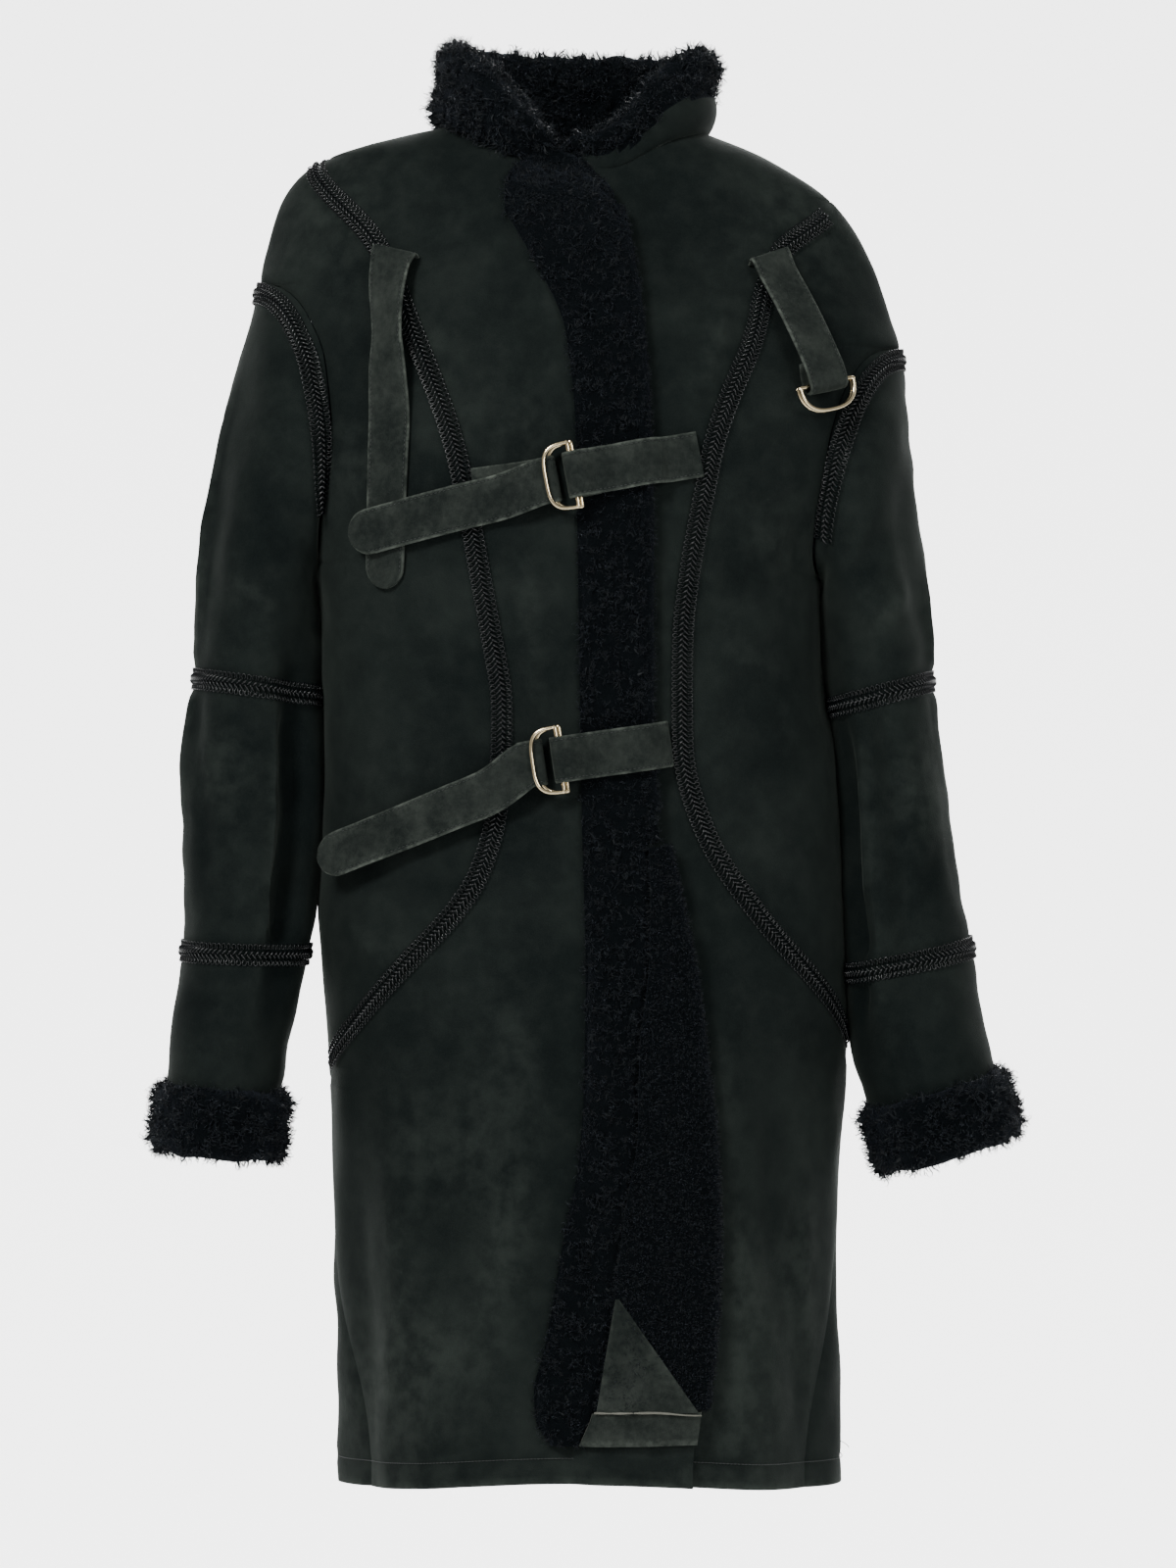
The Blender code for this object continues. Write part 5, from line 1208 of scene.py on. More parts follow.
def all_levels(step):
    """Return the body's levels, with its seams' ends among them."""
    marks = (NECK_LEVEL, SEAM_TOP_LEVEL, ARMHOLE_TOP, ARMHOLE_BOTTOM, SEAM_END_LEVEL["left"],
             SEAM_END_LEVEL["right"], HEM_LEVEL + 0.0002)
    rows = [np.array((NECK_LEVEL,))]
    for first, last in zip(marks[:-1], marks[1:]):
        rows.append(level_rows(first, last, step)[1:])
    rows = np.concatenate(rows)
    return np.sort(np.concatenate((rows, (SEAM_TOP_LEVEL - 0.0004, SEAM_END_LEVEL["left"] - 0.0004,
                                          SEAM_END_LEVEL["right"] - 0.0004))))[::-1]


def panel_grid(levels, first_edge, last_edge, step, sinks):
    """Return the angles and levels of a panel's fine grid, and its distance from the seams."""
    first, last = first_edge(levels), last_edge(levels)
    reach = np.linalg.norm(body_point((first + last) / 2, levels)[:, :2], axis=1)
    width = np.abs(last - first) * reach
    columns = max(int(width.max() / step), 6)
    share = np.linspace(0.0, 1.0, columns + 1)[None, :]
    angle = first[:, None] + (last - first)[:, None] * share
    level = np.broadcast_to(levels[:, None], angle.shape)
    edge = np.full(angle.shape, 1.0)
    if sinks[0]:
        edge = np.minimum(edge, share * width[:, None])
    if sinks[1]:
        edge = np.minimum(edge, (1 - share) * width[:, None])
    return angle, level, edge


def make_panel(name, levels, first_edge, last_edge, looks, lift=None, sinks=(True, True)):
    """Make one suede panel of the body as a shell with the pile inside."""
    angle, level, edge = panel_grid(levels, first_edge, last_edge, looks.cloth_step, sinks)
    base, normal = body_point(angle, level), body_normal(angle, level)
    shape = base.shape
    up = lift(base[..., 0], base[..., 2]) if lift else np.zeros(shape[:2])
    flat = base.reshape(-1, 3)
    crease = crease_height("body", flat).reshape(shape[:2])
    uneven = 0.0009 * soft_noise(flat, 0.045, 3).reshape(shape[:2])
    calm = ease(edge / 0.02) if lift is None else ease(edge / 0.02) * ease((0.08 - up * 8) / 0.03)
    dip = -SEAM_SINK * np.exp(-(edge / SEAM_WIDTH) ** 2)
    above_hem = base[..., 2] - body_point(angle, np.full(level.shape, HEM_LEVEL))[..., 2]
    groove = -HEM_GROOVE * np.exp(-((above_hem - HEM_STITCH) / 0.0022) ** 2)
    total = up + (crease + uneven) * calm + dip + groove
    outer = base + normal * total[..., None]
    inner = base + normal * (up - WALL + 0.4 * crease * calm)[..., None]
    # Crease ridges turn paler as rubbed wear; crease troughs go below zero, which is painted shade that
    # darkens the suede there.
    rub = rub_value(outer.reshape(-1, 3)) + np.clip(crease.ravel() * 55, -0.1, 0.22)
    rub = rub + 0.55 * np.exp(-(above_hem.ravel() / 0.0035) ** 2)
    rub = rub + 0.12 * np.exp(-((above_hem.ravel() - HEM_STITCH * 0.5) / 0.006) ** 2)
    return make_shell(name, outer, inner, ("suede", "pile"), rub=rub)


def declare_panel(piece, name):
    """Settle a panel as a hung sheet of its cut size, with the braids on it."""
    settle(piece, COAT, (name,))


def seam_or_side(side, back):
    """Return the angle of a centre panel's outer edge at levels."""
    turn = 2 * math.pi if back and side == "left" else 0.0

    def edge(level):
        angle = np.where(level > SEAM_TOP_LEVEL - 0.0002, side_line(side, back), SEAMS[side, back](level))
        return np.where(level < SEAM_END_LEVEL[side], skirt_seam(side, level) + turn, angle)
    return edge


def make_body_panels(looks):
    """Make the fronts, side fronts, side backs and the back."""
    levels = all_levels(looks.cloth_step)
    fold, hidden = front_edge_angle(FOLD_X), front_edge_angle(hidden_edge_x)
    made = {
        "front_right": make_panel(
            "front_right_suede", levels, fold, seam_or_side("right", False), looks, lap, (False, True),
        ),
        "front_left": make_panel(
            "front_left_suede", levels, seam_or_side("left", False), hidden, looks, None, (True, False),
        ),
        "back": make_panel(
            "back_suede", levels, seam_or_side("right", True), seam_or_side("left", True), looks,
        ),
    }
    for side in SIDES:
        inside = (levels < SEAM_TOP_LEVEL - 0.0003) & (levels >= SEAM_END_LEVEL[side] - 0.0001)
        rows = levels[inside]
        for back in (False, True):
            name = "side_%s_%s" % ("back" if back else "front", side)
            made[name] = make_panel(name + "_suede", rows, SEAMS[side, back],
                                    lambda level, s=side, b=back: edge_angle(s, b, level), looks)
    for name, piece in made.items():
        declare_panel(piece, name)


def make_sleeve_panels(looks):
    """Make each sleeve's three lengths."""
    turn = full_turn(int(SLEEVE_GIRTH / looks.cloth_step))
    for side in SIDES:
        down = sleeve_end_down(side)
        for part, first, last, rows in (
            ("upper", 0.004, ELBOW - 0.004, 0.31), ("middle", ELBOW + 0.004, FOREARM - 0.004, 0.2),
            ("lower", FOREARM + 0.004, WRIST - 0.004, 0.095),
        ):
            count = int(rows / looks.cloth_step) + 2
            section = np.linspace(first, last, count)
            if part == "upper":
                section = first + (last - first) * np.linspace(0.0, 1.0, count) ** 1.25
            u, v = np.meshgrid(turn, section)
            base, normal = SLEEVES[side](u, v), sleeve_normal(side, u, v)
            flat = base.reshape(-1, 3)
            crease = crease_height(side, flat).reshape(u.shape)
            edge = np.minimum(v - first, last - v) * 0.05
            calm = ease(edge / 0.018)
            dip = -SEAM_SINK * np.exp(-(edge / SEAM_WIDTH) ** 2)
            uneven = 0.001 * soft_noise(flat, 0.04, 4).reshape(u.shape)
            outer = base + normal * ((crease + uneven) * calm + dip)[..., None]
            inwards = -normal
            if part == "upper":
                body = body_normal(*arm_place(side, turn))
                middle = sleeve_rings(side, np.array((0.0, math.pi)))[0].mean(axis=0)
                inwards[0] = unit(inwards[0] - body + 0.8 * unit(middle - base[0]))
            if part == "lower":
                inwards[-1] = unit(inwards[-1] - (inwards[-1] @ down)[:, None] * down)
            inner = base + inwards * (SLEEVE_WALL - np.minimum(crease * calm, 0.0))[..., None]
            # Crease ridges turn paler as rubbed wear; crease troughs go below zero, which is painted shade
            # that darkens the suede there.
            rub = rub_value(outer.reshape(-1, 3)) + np.clip(crease.ravel() * 60, -0.1, 0.26)
            name = "sleeve_%s_%s" % (part, side)
            piece = make_shell(name + "_suede", outer, inner, ("suede", "pile"), True, rub)
            declare_panel(piece, name)


# Braids
def band_path(surface, normal, path, step, closed=False):
    """Return evenly spaced places on a surface along a path, with directions along it and out."""
    path = np.array(path, float)
    fine = np.linspace(0.0, len(path) - 1, 1200)
    u = np.interp(fine, np.arange(len(path)), path[:, 0])
    v = np.interp(fine, np.arange(len(path)), path[:, 1])
    total = travelled(surface(u, v))
    count = max(int(round(total[-1] / step)), 2)
    at = (np.arange(count) + 0.5) * total[-1] / count
    u, v = np.interp(at, total, u), np.interp(at, total, v)
    place, out = surface(u, v), normal(u, v)
    along = directions(place, closed)
    return place, along, unit(out - (out * along).sum(axis=1)[:, None] * along)


def make_braid(name, surface, normal, path, looks, under, closed=False, lift=None):
    """Lay a gimp braid along a path on a surface."""
    place, along, out = band_path(surface, normal, path, BRAID_REPEAT * looks.braid_pitch, closed)
    rise = under if lift is None else under + lift(place[:, 0], place[:, 2])
    place = place + out * (np.broadcast_to(rise, len(place)) - BRAID_SINK)[:, None]
    piece = lay(name + "_cord", "braid_repeat", place, along, out, "gimp_cord", seed=7)
    settle(piece, COAT, (name,))
    MADE[name] = piece


def make_braids(looks):
    """Lay the braids over the front and back seams, the armholes and the sleeves' seams."""
    for side in SIDES:
        for back in (False, True):
            levels = np.linspace(SEAM_TOP_LEVEL - 0.008, SEAM_END_LEVEL[side] + 0.02, 120)
            path = np.stack((SEAMS[side, back](levels), levels), axis=1)
            name = "braid_%s_%s" % ("back" if back else "front", side)
            make_braid(name, body_point, body_normal, path, looks, BAND_UNDER)
        surface = SLEEVES[side]

        def sleeve_out(u, v, side=side):
            return sleeve_normal(side, u, v)
        turns = np.radians(np.linspace(-126, 126, 80))
        path = np.stack((turns, ARMHOLE_BRAID_SECTION(np.abs(turns))), axis=1)
        make_braid("braid_armhole_" + side, surface, sleeve_out, path, looks, BAND_UNDER)
        turns = np.linspace(0.0, 2 * math.pi, 80)
        for part, section in (("elbow", ELBOW), ("forearm", FOREARM)):
            path = np.stack((turns, np.full(80, float(section))), axis=1)
            make_braid("braid_%s_%s" % (part, side), surface, sleeve_out, path, looks,
                       RING_BAND_UNDER, True)


# Fur: cuffs and collar
def make_cuffs(looks):
    """Make the two turned-back fur cuffs, with their locks."""
    turn = full_turn(CUFF_POINTS[0])
    ends = np.full(len(turn), float(WRIST))
    outline = smooth_line(CUFF_SECTION, CUFF_POINTS[1], True)
    for side in SIDES:
        down = sleeve_end_down(side)
        edge, out = SLEEVES[side](turn, ends), sleeve_normal(side, turn, ends)
        out = unit(out - (out @ down)[:, None] * down)
        sections = (edge[:, None] + out[:, None] * outline[None, :, :1]
                    + down[None, None] * outline[None, :, 1:])
        lumps = 0.0016 * soft_noise(sections, 0.03, 11)
        middle = sections.mean(axis=1, keepdims=True)
        sections = sections + unit(sections - middle) * (lumps - looks.fur_sink)[..., None]
        fur = np.broadcast_to(np.where(outline[:, 0] < -0.002, 0.55, 1.0)[None], sections.shape[:2])
        name = "cuff_" + side
        piece = make_tube_loft(name + "_skin", sections, ("pile",), True, {"fur": fur.ravel()})
        locks = grow_locks(
            name + "_locks", piece, looks.fur_density, 3, looks.fur_size, 0.28 * looks.fur_size, 0.85,
        )
        settle(piece, COAT, (name,))
        settle(locks, COAT)


def collar_sections(count, size):
    """Return the collar's sections round the neck, with each one's share of height and angle."""
    columns = [smooth_curve([(row[0], row[k]) for row in COLLAR_SECTIONS]) for k in range(1, 5)]
    levels = np.linspace(NECK_LEVEL, -0.06, 65)
    sections, marks = [], []
    for degrees in np.linspace(COLLAR_SECTIONS[0][0], COLLAR_SECTIONS[-1][0], count):
        height, lean, thick, hang = (float(column(degrees)) for column in columns)
        angle = math.radians(degrees)
        seam = body_point(angle, NECK_LEVEL)
        out = unit(np.array((seam[0], seam[1], 0.0)))
        found = body_point(angle, levels)
        reaches = np.hypot(found[:, 0], found[:, 1])
        near, far = (float(np.interp(math.hypot(seam[0], seam[1]) + share * thick, reaches, found[:, 2]))
                     - seam[2] for share in (0.2, 0.4))
        outline = (
            (-0.4 * thick, -0.008), (0.02 * thick, -0.008), (0.2 * thick, near - 0.0045),
            (0.4 * thick, max(-0.001 - hang, far - 0.0035)),
            (0.62 * thick + 0.5 * lean, 0.4 * height - 0.6 * hang), (0.5 * thick + lean, 0.82 * height),
            (0.05 * thick + lean, height), (-0.45 * thick + lean, 0.86 * height),
            (-0.55 * thick + 0.4 * lean, 0.45 * height),
        )
        line = smooth_line(outline, size, True)
        sections.append(seam + out * line[:, :1] + np.array((0.0, 0.0, 1.0)) * line[:, 1:])
        away = (line[:, 0] - lean * line[:, 1] / height) / thick
        marks.append(np.stack((np.full(size, degrees), line[:, 1] / height, away), axis=-1))
    return np.array(sections), np.array(marks)


COLLAR_TUCK = 0.1       # share by which the soft collar gives way sideways at its top


def make_collar(looks):
    """Make the collar: suede stand outside, fur rolled over its edge, all fur where it turns out."""
    sections, marks = collar_sections(*COLLAR_POINTS)
    degrees, tall, away = marks[..., 0], marks[..., 1], marks[..., 2]
    turned = ease((-148.0 - degrees) / 16.0)
    border = 0.4 + 0.05 * np.sin(np.radians(degrees * 2.3)) - 0.55 * ease((degrees - 38) / 30.0)
    stand = (1 - turned) * ease((border - tall) / 0.1) * ease((away - 0.02) / 0.12)
    lumps = (0.002 * soft_noise(sections, 0.034, 12) + 0.001 * soft_noise(sections, 0.012, 15)) * (1 - stand)
    middle = sections.mean(axis=1, keepdims=True)
    push = lumps - looks.fur_sink * (1 - stand) - 0.0042 * stand
    sections = sections + unit(sections - middle) * push[..., None]
    sections[..., 0] *= 1 - COLLAR_TUCK * ease(tall / 0.6)
    fur = np.where(stand > 0.5, 0.0, 1.0)
    piece = make_tube_loft("collar_skin", sections, ("pile", "suede"), False, {"fur": fur.ravel()})
    corners = np.zeros(len(piece.data.polygons))
    flat = fur.ravel()
    for k, polygon in enumerate(piece.data.polygons):
        corners[k] = np.mean([flat[v] for v in polygon.vertices])
    piece.data.polygons.foreach_set("material_index", (corners < 0.5).astype(int))
    locks = grow_locks(
        "collar_locks", piece, looks.fur_density * 1.15, 5, looks.fur_size, 0.32 * looks.fur_size, 0.8,
    )
    settle(piece, COAT, ("collar",))
    settle(locks, COAT)


# Turned-back front
def crown(z):
    """Return the strip's outer height at z, pressed down where a strap crosses it."""
    full, free = PRESS_REACH
    press = np.max([ease((free - np.abs(z - level)) / (free - full)) for level in STRAP_LEVELS], axis=0)
    return STRIP_CROWN - (STRIP_CROWN - STRIP_PRESSED) * press


def layer_grids(z, left, right, profile, step):
    """Return outer and inner grids of a layer over the right front, and each point's share across."""
    columns = max(int(np.max(right - left) / step), 4)
    share = np.linspace(0.0, 1.0, columns + 1)[None, :]
    x = left[:, None] + (right - left)[:, None] * share
    heights = np.broadcast_to(z[:, None], x.shape)
    share = np.broadcast_to(share, x.shape)
    inner, outer = profile(x, heights, share)
    angle, level = place_of(x, heights)
    base, normal = body_point(angle, level), body_normal(angle, level)
    return base + normal * outer[..., None], base + normal * inner[..., None], share


def with_roll(z, outer, inner, top, steps=7):
    """Add columns to a layer's grids that roll round the fold line, down to the front's inside."""
    low = LAP_LIFT - WALL
    lift = lap(FOLD_X(z), z) - LAP_LIFT
    angle, level = place_of(FOLD_X(z), z)
    base, normal = body_point(angle, level), body_normal(angle, level)
    across = unit(np.cross(np.gradient(base, axis=0), normal))
    across = across * np.sign(across[:, :1])
    middle, radius = (top + low) / 2, (top - low) / 2
    grids = [outer, inner]
    for k in range(1, steps + 1):
        turn = 0.9 * math.pi * k / steps
        for which, shrink in enumerate((0.0, 0.003)):
            r = radius - shrink
            place = (base + normal * (middle + lift + r * math.cos(turn))[:, None]
                     + across * (r * math.sin(turn)))
            grids[which] = np.concatenate((grids[which], place[:, None]), axis=1)
    return grids


def make_pile_layer(name, outer, inner, growth, replaces):
    """Make a layer of pile that lies folded on the right front, with its locks."""
    piece = make_shell(name + "_skin", outer, inner, ("pile", "pile"), furred=True)
    locks = grow_locks(name + "_locks", piece, *growth)
    settle(locks, COAT)
    settle(piece, COAT, replaces)


# The strip's rounded top under the collar: z, left x and right x.
STRIP_CAP = (
    (-0.026, -0.034, -0.016), (-0.032, -0.043, 0.0), (-0.04, -0.051, 0.008), (-0.05, -0.056, 0.0145),
    (-0.062, -0.0575, 0.021), (-0.08, -0.054, 0.03),
)


def make_strip(looks):
    """Make the curly strip along the turned-back front's free edge."""
    z = np.arange(STRIP_CAP[0][0], STRIP_BOTTOM - 0.001, -0.004)
    cap_left = smooth_curve([(row[0], row[1]) for row in STRIP_CAP])(z)
    cap_right = smooth_curve([(row[0], row[2]) for row in STRIP_CAP])(z)
    blend = ease((-0.05 - z) / 0.02)
    left = cap_left * (1 - blend) + STRIP_EDGE_X(z) * blend
    blend = ease((-0.07 - z) / 0.02)
    right = np.where(z > STRIP_SEAM[0][1], FOLD_X(z), STRIP_SEAM_X(z))
    right = np.minimum(cap_right * (1 - blend) + right * blend, right)

    def profile(x, heights, share):
        inner = REVERS_INNER + lap(x, heights) - LAP_LIFT
        full = crown(heights) - REVERS_INNER - STRIP_RIM
        return inner, inner + STRIP_RIM + full * (1 - np.abs(2 * share - 1) ** 4)
    outer, inner, _ = layer_grids(z, left, right, profile, PILE_STEP)
    ends = ease((STRIP_CAP[0][0] - z + 0.004) / 0.012) * ease((z - STRIP_BOTTOM + 0.002) / 0.02)
    lumps = 0.0012 * soft_noise(outer, 0.024, 13) - looks.fur_sink * 0.6
    thin = unit(outer - inner)
    outer = outer + thin * (lumps * ends[:, None])[..., None]
    above = (z > STRIP_SEAM[0][1] + 0.02) & (z < -0.074)
    growth = (looks.fur_density * 1.35, 6, looks.fur_size * 0.76, 0.22 * looks.fur_size, 1.05)
    make_pile_layer("front_fur_strip", outer, inner, growth, ("front_fur_strip",))
    make_fold_edge(z[above], looks)


def make_fold_edge(z, looks):
    """Make the pile that shows round the fold line above the turned-back front's pile face."""
    fold = FOLD_X(z)

    def profile(x, heights, share):
        inner = REVERS_INNER + lap(x, heights) - LAP_LIFT
        return inner - 0.002, inner + STRIP_RIM * 0.6
    outer, inner, _ = layer_grids(z, fold - 0.004, fold, profile, 0.002)
    outer, inner = with_roll(z, outer, inner, REVERS_INNER + STRIP_RIM * 0.6)
    growth = (looks.fur_density * 2.2, 8, looks.fur_size * 0.5, 0.15 * looks.fur_size, 0.9)
    make_pile_layer("fold_edge", outer, inner, growth, ())


def make_revers(looks):
    """Make the turned-back front's smoother pile face, which rolls round the fold line."""
    z = np.arange(REVERS_TOP + 0.02, REVERS_BOTTOM, -0.0045)

    def profile(x, heights, share):
        rise = lap(x, heights) - LAP_LIFT
        soft = 0.001 * np.sin(share * math.pi * 2.0)
        return REVERS_INNER + rise, REVERS_OUTER + rise + soft
    left = np.minimum(STRIP_SEAM_X(z) + 0.0008, FOLD_X(z) - 0.002)
    outer, inner, _ = layer_grids(z, left, FOLD_X(z), profile, PILE_STEP)
    outer, inner = with_roll(z, outer, inner, REVERS_OUTER)
    lumps = 0.0006 * soft_noise(outer, 0.03, 14)
    outer = outer + unit(outer - inner) * lumps[..., None]
    growth = (looks.fur_density * 4.5, 9, 1.0, 0.25, 0.7, "short")
    make_pile_layer("front_revers", outer, inner, growth, ("front_revers",))


# Shiny worn spots on the corner patch: x, z and size.
WORN_SPOTS = (
    (0.04, -0.952, 0.005), (0.0415, -0.966, 0.008), (0.0205, -0.972, 0.006), (0.033, -0.968, 0.005),
)


def make_corner():
    """Make the triangular suede patch and the turned-up hem band below it."""
    z = np.linspace(PATCH_APEX[1] - 0.003, TURNUP_TOP + 0.0004, 26)
    left, right = (
        PATCH_APEX[0] + (corner[0] - PATCH_APEX[0]) * ((PATCH_APEX[1] - z) / (PATCH_APEX[1] - corner[1]))
        for corner in (PATCH_LEFT, PATCH_RIGHT))

    def patch_profile(x, heights, share):
        rise = lap(x, heights) - LAP_LIFT
        wave = 0.0004 * np.sin(share * 9.0 + heights * 160.0)
        return REVERS_OUTER + 0.0006 + rise, REVERS_OUTER + 0.0026 + rise + wave
    outer, inner, share = layer_grids(z, left, right, patch_profile, PATCH_STEP)
    rim = np.minimum(np.minimum(share, 1 - share) * 6, 1.0)
    rub = 0.02 + 0.16 * (1 - ease(rim * 1.4))
    piece = make_shell("corner_patch_suede", outer, inner, ("strap_suede", "strap_suede"), rub=rub.ravel())
    flat = outer.reshape(-1, 3)
    worn = np.zeros(len(piece.data.vertices))
    for x, height, half in WORN_SPOTS:
        away = np.hypot(flat[:, 0] - x, flat[:, 2] - height) / half
        worn[:len(flat)] += np.exp(-away ** 2) * (0.7 + 0.5 * soft_noise(flat, 0.008, 17))
    piece.data.attributes.new("worn", "FLOAT", "POINT").data.foreach_set("value", np.clip(worn, 0, 1))
    settle(piece, COAT, ("corner_patch",))
    z = np.linspace(TURNUP_TOP, TURNUP_BOTTOM, 9)

    def turnup_profile(x, heights, share):
        rise = lap(x, heights) - LAP_LIFT
        bulge = 0.0012 * np.sin(math.pi * (heights - TURNUP_BOTTOM) / (TURNUP_TOP - TURNUP_BOTTOM))
        return REVERS_INNER + rise, REVERS_INNER + 0.0035 + rise + bulge + 0.0007 * np.sin(share * 13.0)
    outer, inner, share = layer_grids(z, STRIP_SEAM_X(z) + 0.0006, FOLD_X(z), turnup_profile, PATCH_STEP)
    rows = (z - TURNUP_BOTTOM) / (TURNUP_TOP - TURNUP_BOTTOM)
    rub = np.broadcast_to((0.04 + 0.25 * (rows < 0.15) + 0.25 * (rows > 0.9))[:, None], share.shape)
    piece = make_shell("hem_turnup_suede", outer, inner, ("strap_suede", "raw_edge"), rub=rub.ravel())
    settle(piece, COAT, ("hem_turnup",))
    x = np.linspace(float(STRIP_SEAM_X(TURNUP_TOP)) + 0.002, float(FOLD_X(TURNUP_TOP)) - 0.001, 30)
    edge_z = TURNUP_TOP + 0.0012 - 0.003 * ease((x - 0.05) / 0.035)
    line, normal = on_front(x, edge_z, REVERS_OUTER + 0.0026 + lap(x, edge_z) - LAP_LIFT)
    rings = tube_points(line, 0.0007 + 0.0003 * soft_noise(line, 0.012, 18), 6, normal)
    settle(make_tube_loft("corner_raw_edge", rings, ("raw_edge",)), COAT)


# Straps and rings
# across a strap: share of its half width, share of its half thickness, how rubbed it is
STRAP_PROFILE = (
    (1.0, -0.4, 0.8), (1.0, 0.4, 1.0), (0.96, 0.85, 0.9), (0.9, 1.0, 0.35), (0.84, 0.8, 0.0),
    (0.78, 1.0, 0.12), (0.4, 1.06, 0.03), (0.0, 1.1, 0.0), (-0.4, 1.06, 0.03), (-0.78, 1.0, 0.12),
    (-0.84, 0.8, 0.0), (-0.9, 1.0, 0.35), (-0.96, 0.85, 0.9), (-1.0, 0.4, 1.0), (-1.0, -0.4, 0.8),
    (-0.9, -1.0, 0.2), (0.0, -1.0, 0.0), (0.9, -1.0, 0.2),
)
STITCH_INSET = 0.84      # share of a strap's half width where its stitches lie
STITCH_PITCH = 0.0034
FRONT_GAP = (4.71, 4.93)     # angles where the turned-back front lies over the hem


def across_at(normal, slope):
    """Return the direction across a strap whose line rises to the right by the slope."""
    right = np.array((math.cos(math.radians(slope)), 0.0, math.sin(math.radians(slope))))
    return unit(np.cross(normal, unit(right - np.dot(right, normal) * normal)))


def strap_station(x, z, lift, slope):
    """Return a strap's station on the front: middle, direction across, width."""
    point, normal = on_front(x, z, lift)
    return point, across_at(normal, slope), STRAP_WIDTH


def turn_stations(x, z, lift, radius, slope, towards, count=6):
    """Return stations of a half turn from the upper to the lower layer."""
    stations = []
    for k in range(count + 1):
        angle = math.pi / 2 - math.pi * k / count
        shift = towards * radius * math.cos(angle)
        stations.append(strap_station(x + shift * math.cos(math.radians(slope)),
                                      z + shift * math.sin(math.radians(slope)),
                                      lift + radius * math.sin(angle), slope))
    return stations


def round_end(stations):
    """Add a strap's rounded end."""
    last, across, width = stations[-1]
    direction = unit(last - stations[-2][0])
    for share in ROUND_END + (0.995,):
        stations.append((last + direction * STRAP_WIDTH / 2 * share, across,
                         width * math.sqrt(1 - share ** 2)))
    return stations


def make_strap(name, stations, seed, flip=1.0):
    """Make a suede strap through stations, with stitches along both its edges."""
    rows = np.array([(*middle, *(across * 0.004), width) for middle, across, width in stations])
    length = np.linalg.norm(np.diff(rows[:, :3], axis=0), axis=1).sum()
    rows = smooth_line(rows, int(length / STRAP_STEP))
    middle, across, width = rows[:, :3], unit(rows[:, 3:6]), rows[:, 6]
    along = unit(np.gradient(middle, axis=0))
    across = unit(across - (across * along).sum(axis=1)[:, None] * along)
    face = np.cross(across, along) * flip
    profile = np.array(STRAP_PROFILE)
    wave = 0.0004 * soft_noise(middle, 0.02, seed)
    sections = (middle[:, None] + across[:, None] * (profile[None, :, :1] * width[:, None, None] / 2)
                + face[:, None] * (profile[None, :, 1:2] * STRAP_THICK * 0.46
                                   + (wave[:, None] * (1 - profile[None, :, 0] ** 2))[..., None]))
    ends = ease((0.006 - (len(rows) - np.arange(len(rows))) * STRAP_STEP) / 0.006)
    rub = np.maximum(profile[None, :, 2] * (0.75 + 0.5 * soft_noise(middle, 0.014, seed + 1))[:, None],
                     0.8 * ends[:, None])
    piece = make_tube_loft(
        name + "_suede", sections, ("strap_suede",), False, {"rub": np.clip(rub, 0, 1).ravel()}, 40.0,
    )
    spots, lines, outs = [], [], []
    gone = travelled(middle)
    at = np.arange(0.004, gone[-1] - 0.012, STITCH_PITCH)
    for side in (-1, 1):
        line = middle + across * (side * STITCH_INSET * width / 2)[:, None] + face * STRAP_THICK * 0.38
        for found, values in ((spots, line), (lines, along), (outs, face)):
            found.append(np.stack([np.interp(at, gone, values[:, k]) for k in range(3)], axis=-1))
    stitches = lay(name + "_stitches", "stitch", *(np.concatenate(v) for v in (spots, lines, outs)),
                   "thread", seed=seed)
    settle(stitches, COAT)
    settle(piece, COAT, (name,))
    return piece


def make_ring(name, along, outwards, origin, body, squareness=RING_SQUARENESS):
    """Make a D-ring of round wire in the plane of two directions; the origin is its bar's middle."""
    half, steps, bend = RING_LENGTH / 2, 24, 2 / squareness
    outline = []
    for k in range(1, steps):
        c, s = math.cos(math.pi * k / steps), math.sin(math.pi * k / steps)
        outline.append((math.copysign(half * abs(c) ** bend, c), RING_DEPTH * s ** bend))
    outline = [(half, 0.0012)] + outline + [
        (-half, 0.0012), (-half + 0.0014, 0.0), (0.0, 0.0), (half - 0.0014, 0.0),
    ]
    line = smooth_line(np.array([a * along + b * outwards for a, b in outline]), 110, True) + origin
    rings = tube_points(line, RING_WIRE / 2, 18, np.cross(along, outwards), True)
    piece = make_tube_loft(name + "_wire", rings, ("gold",), True)
    settle(piece, body, (name,))


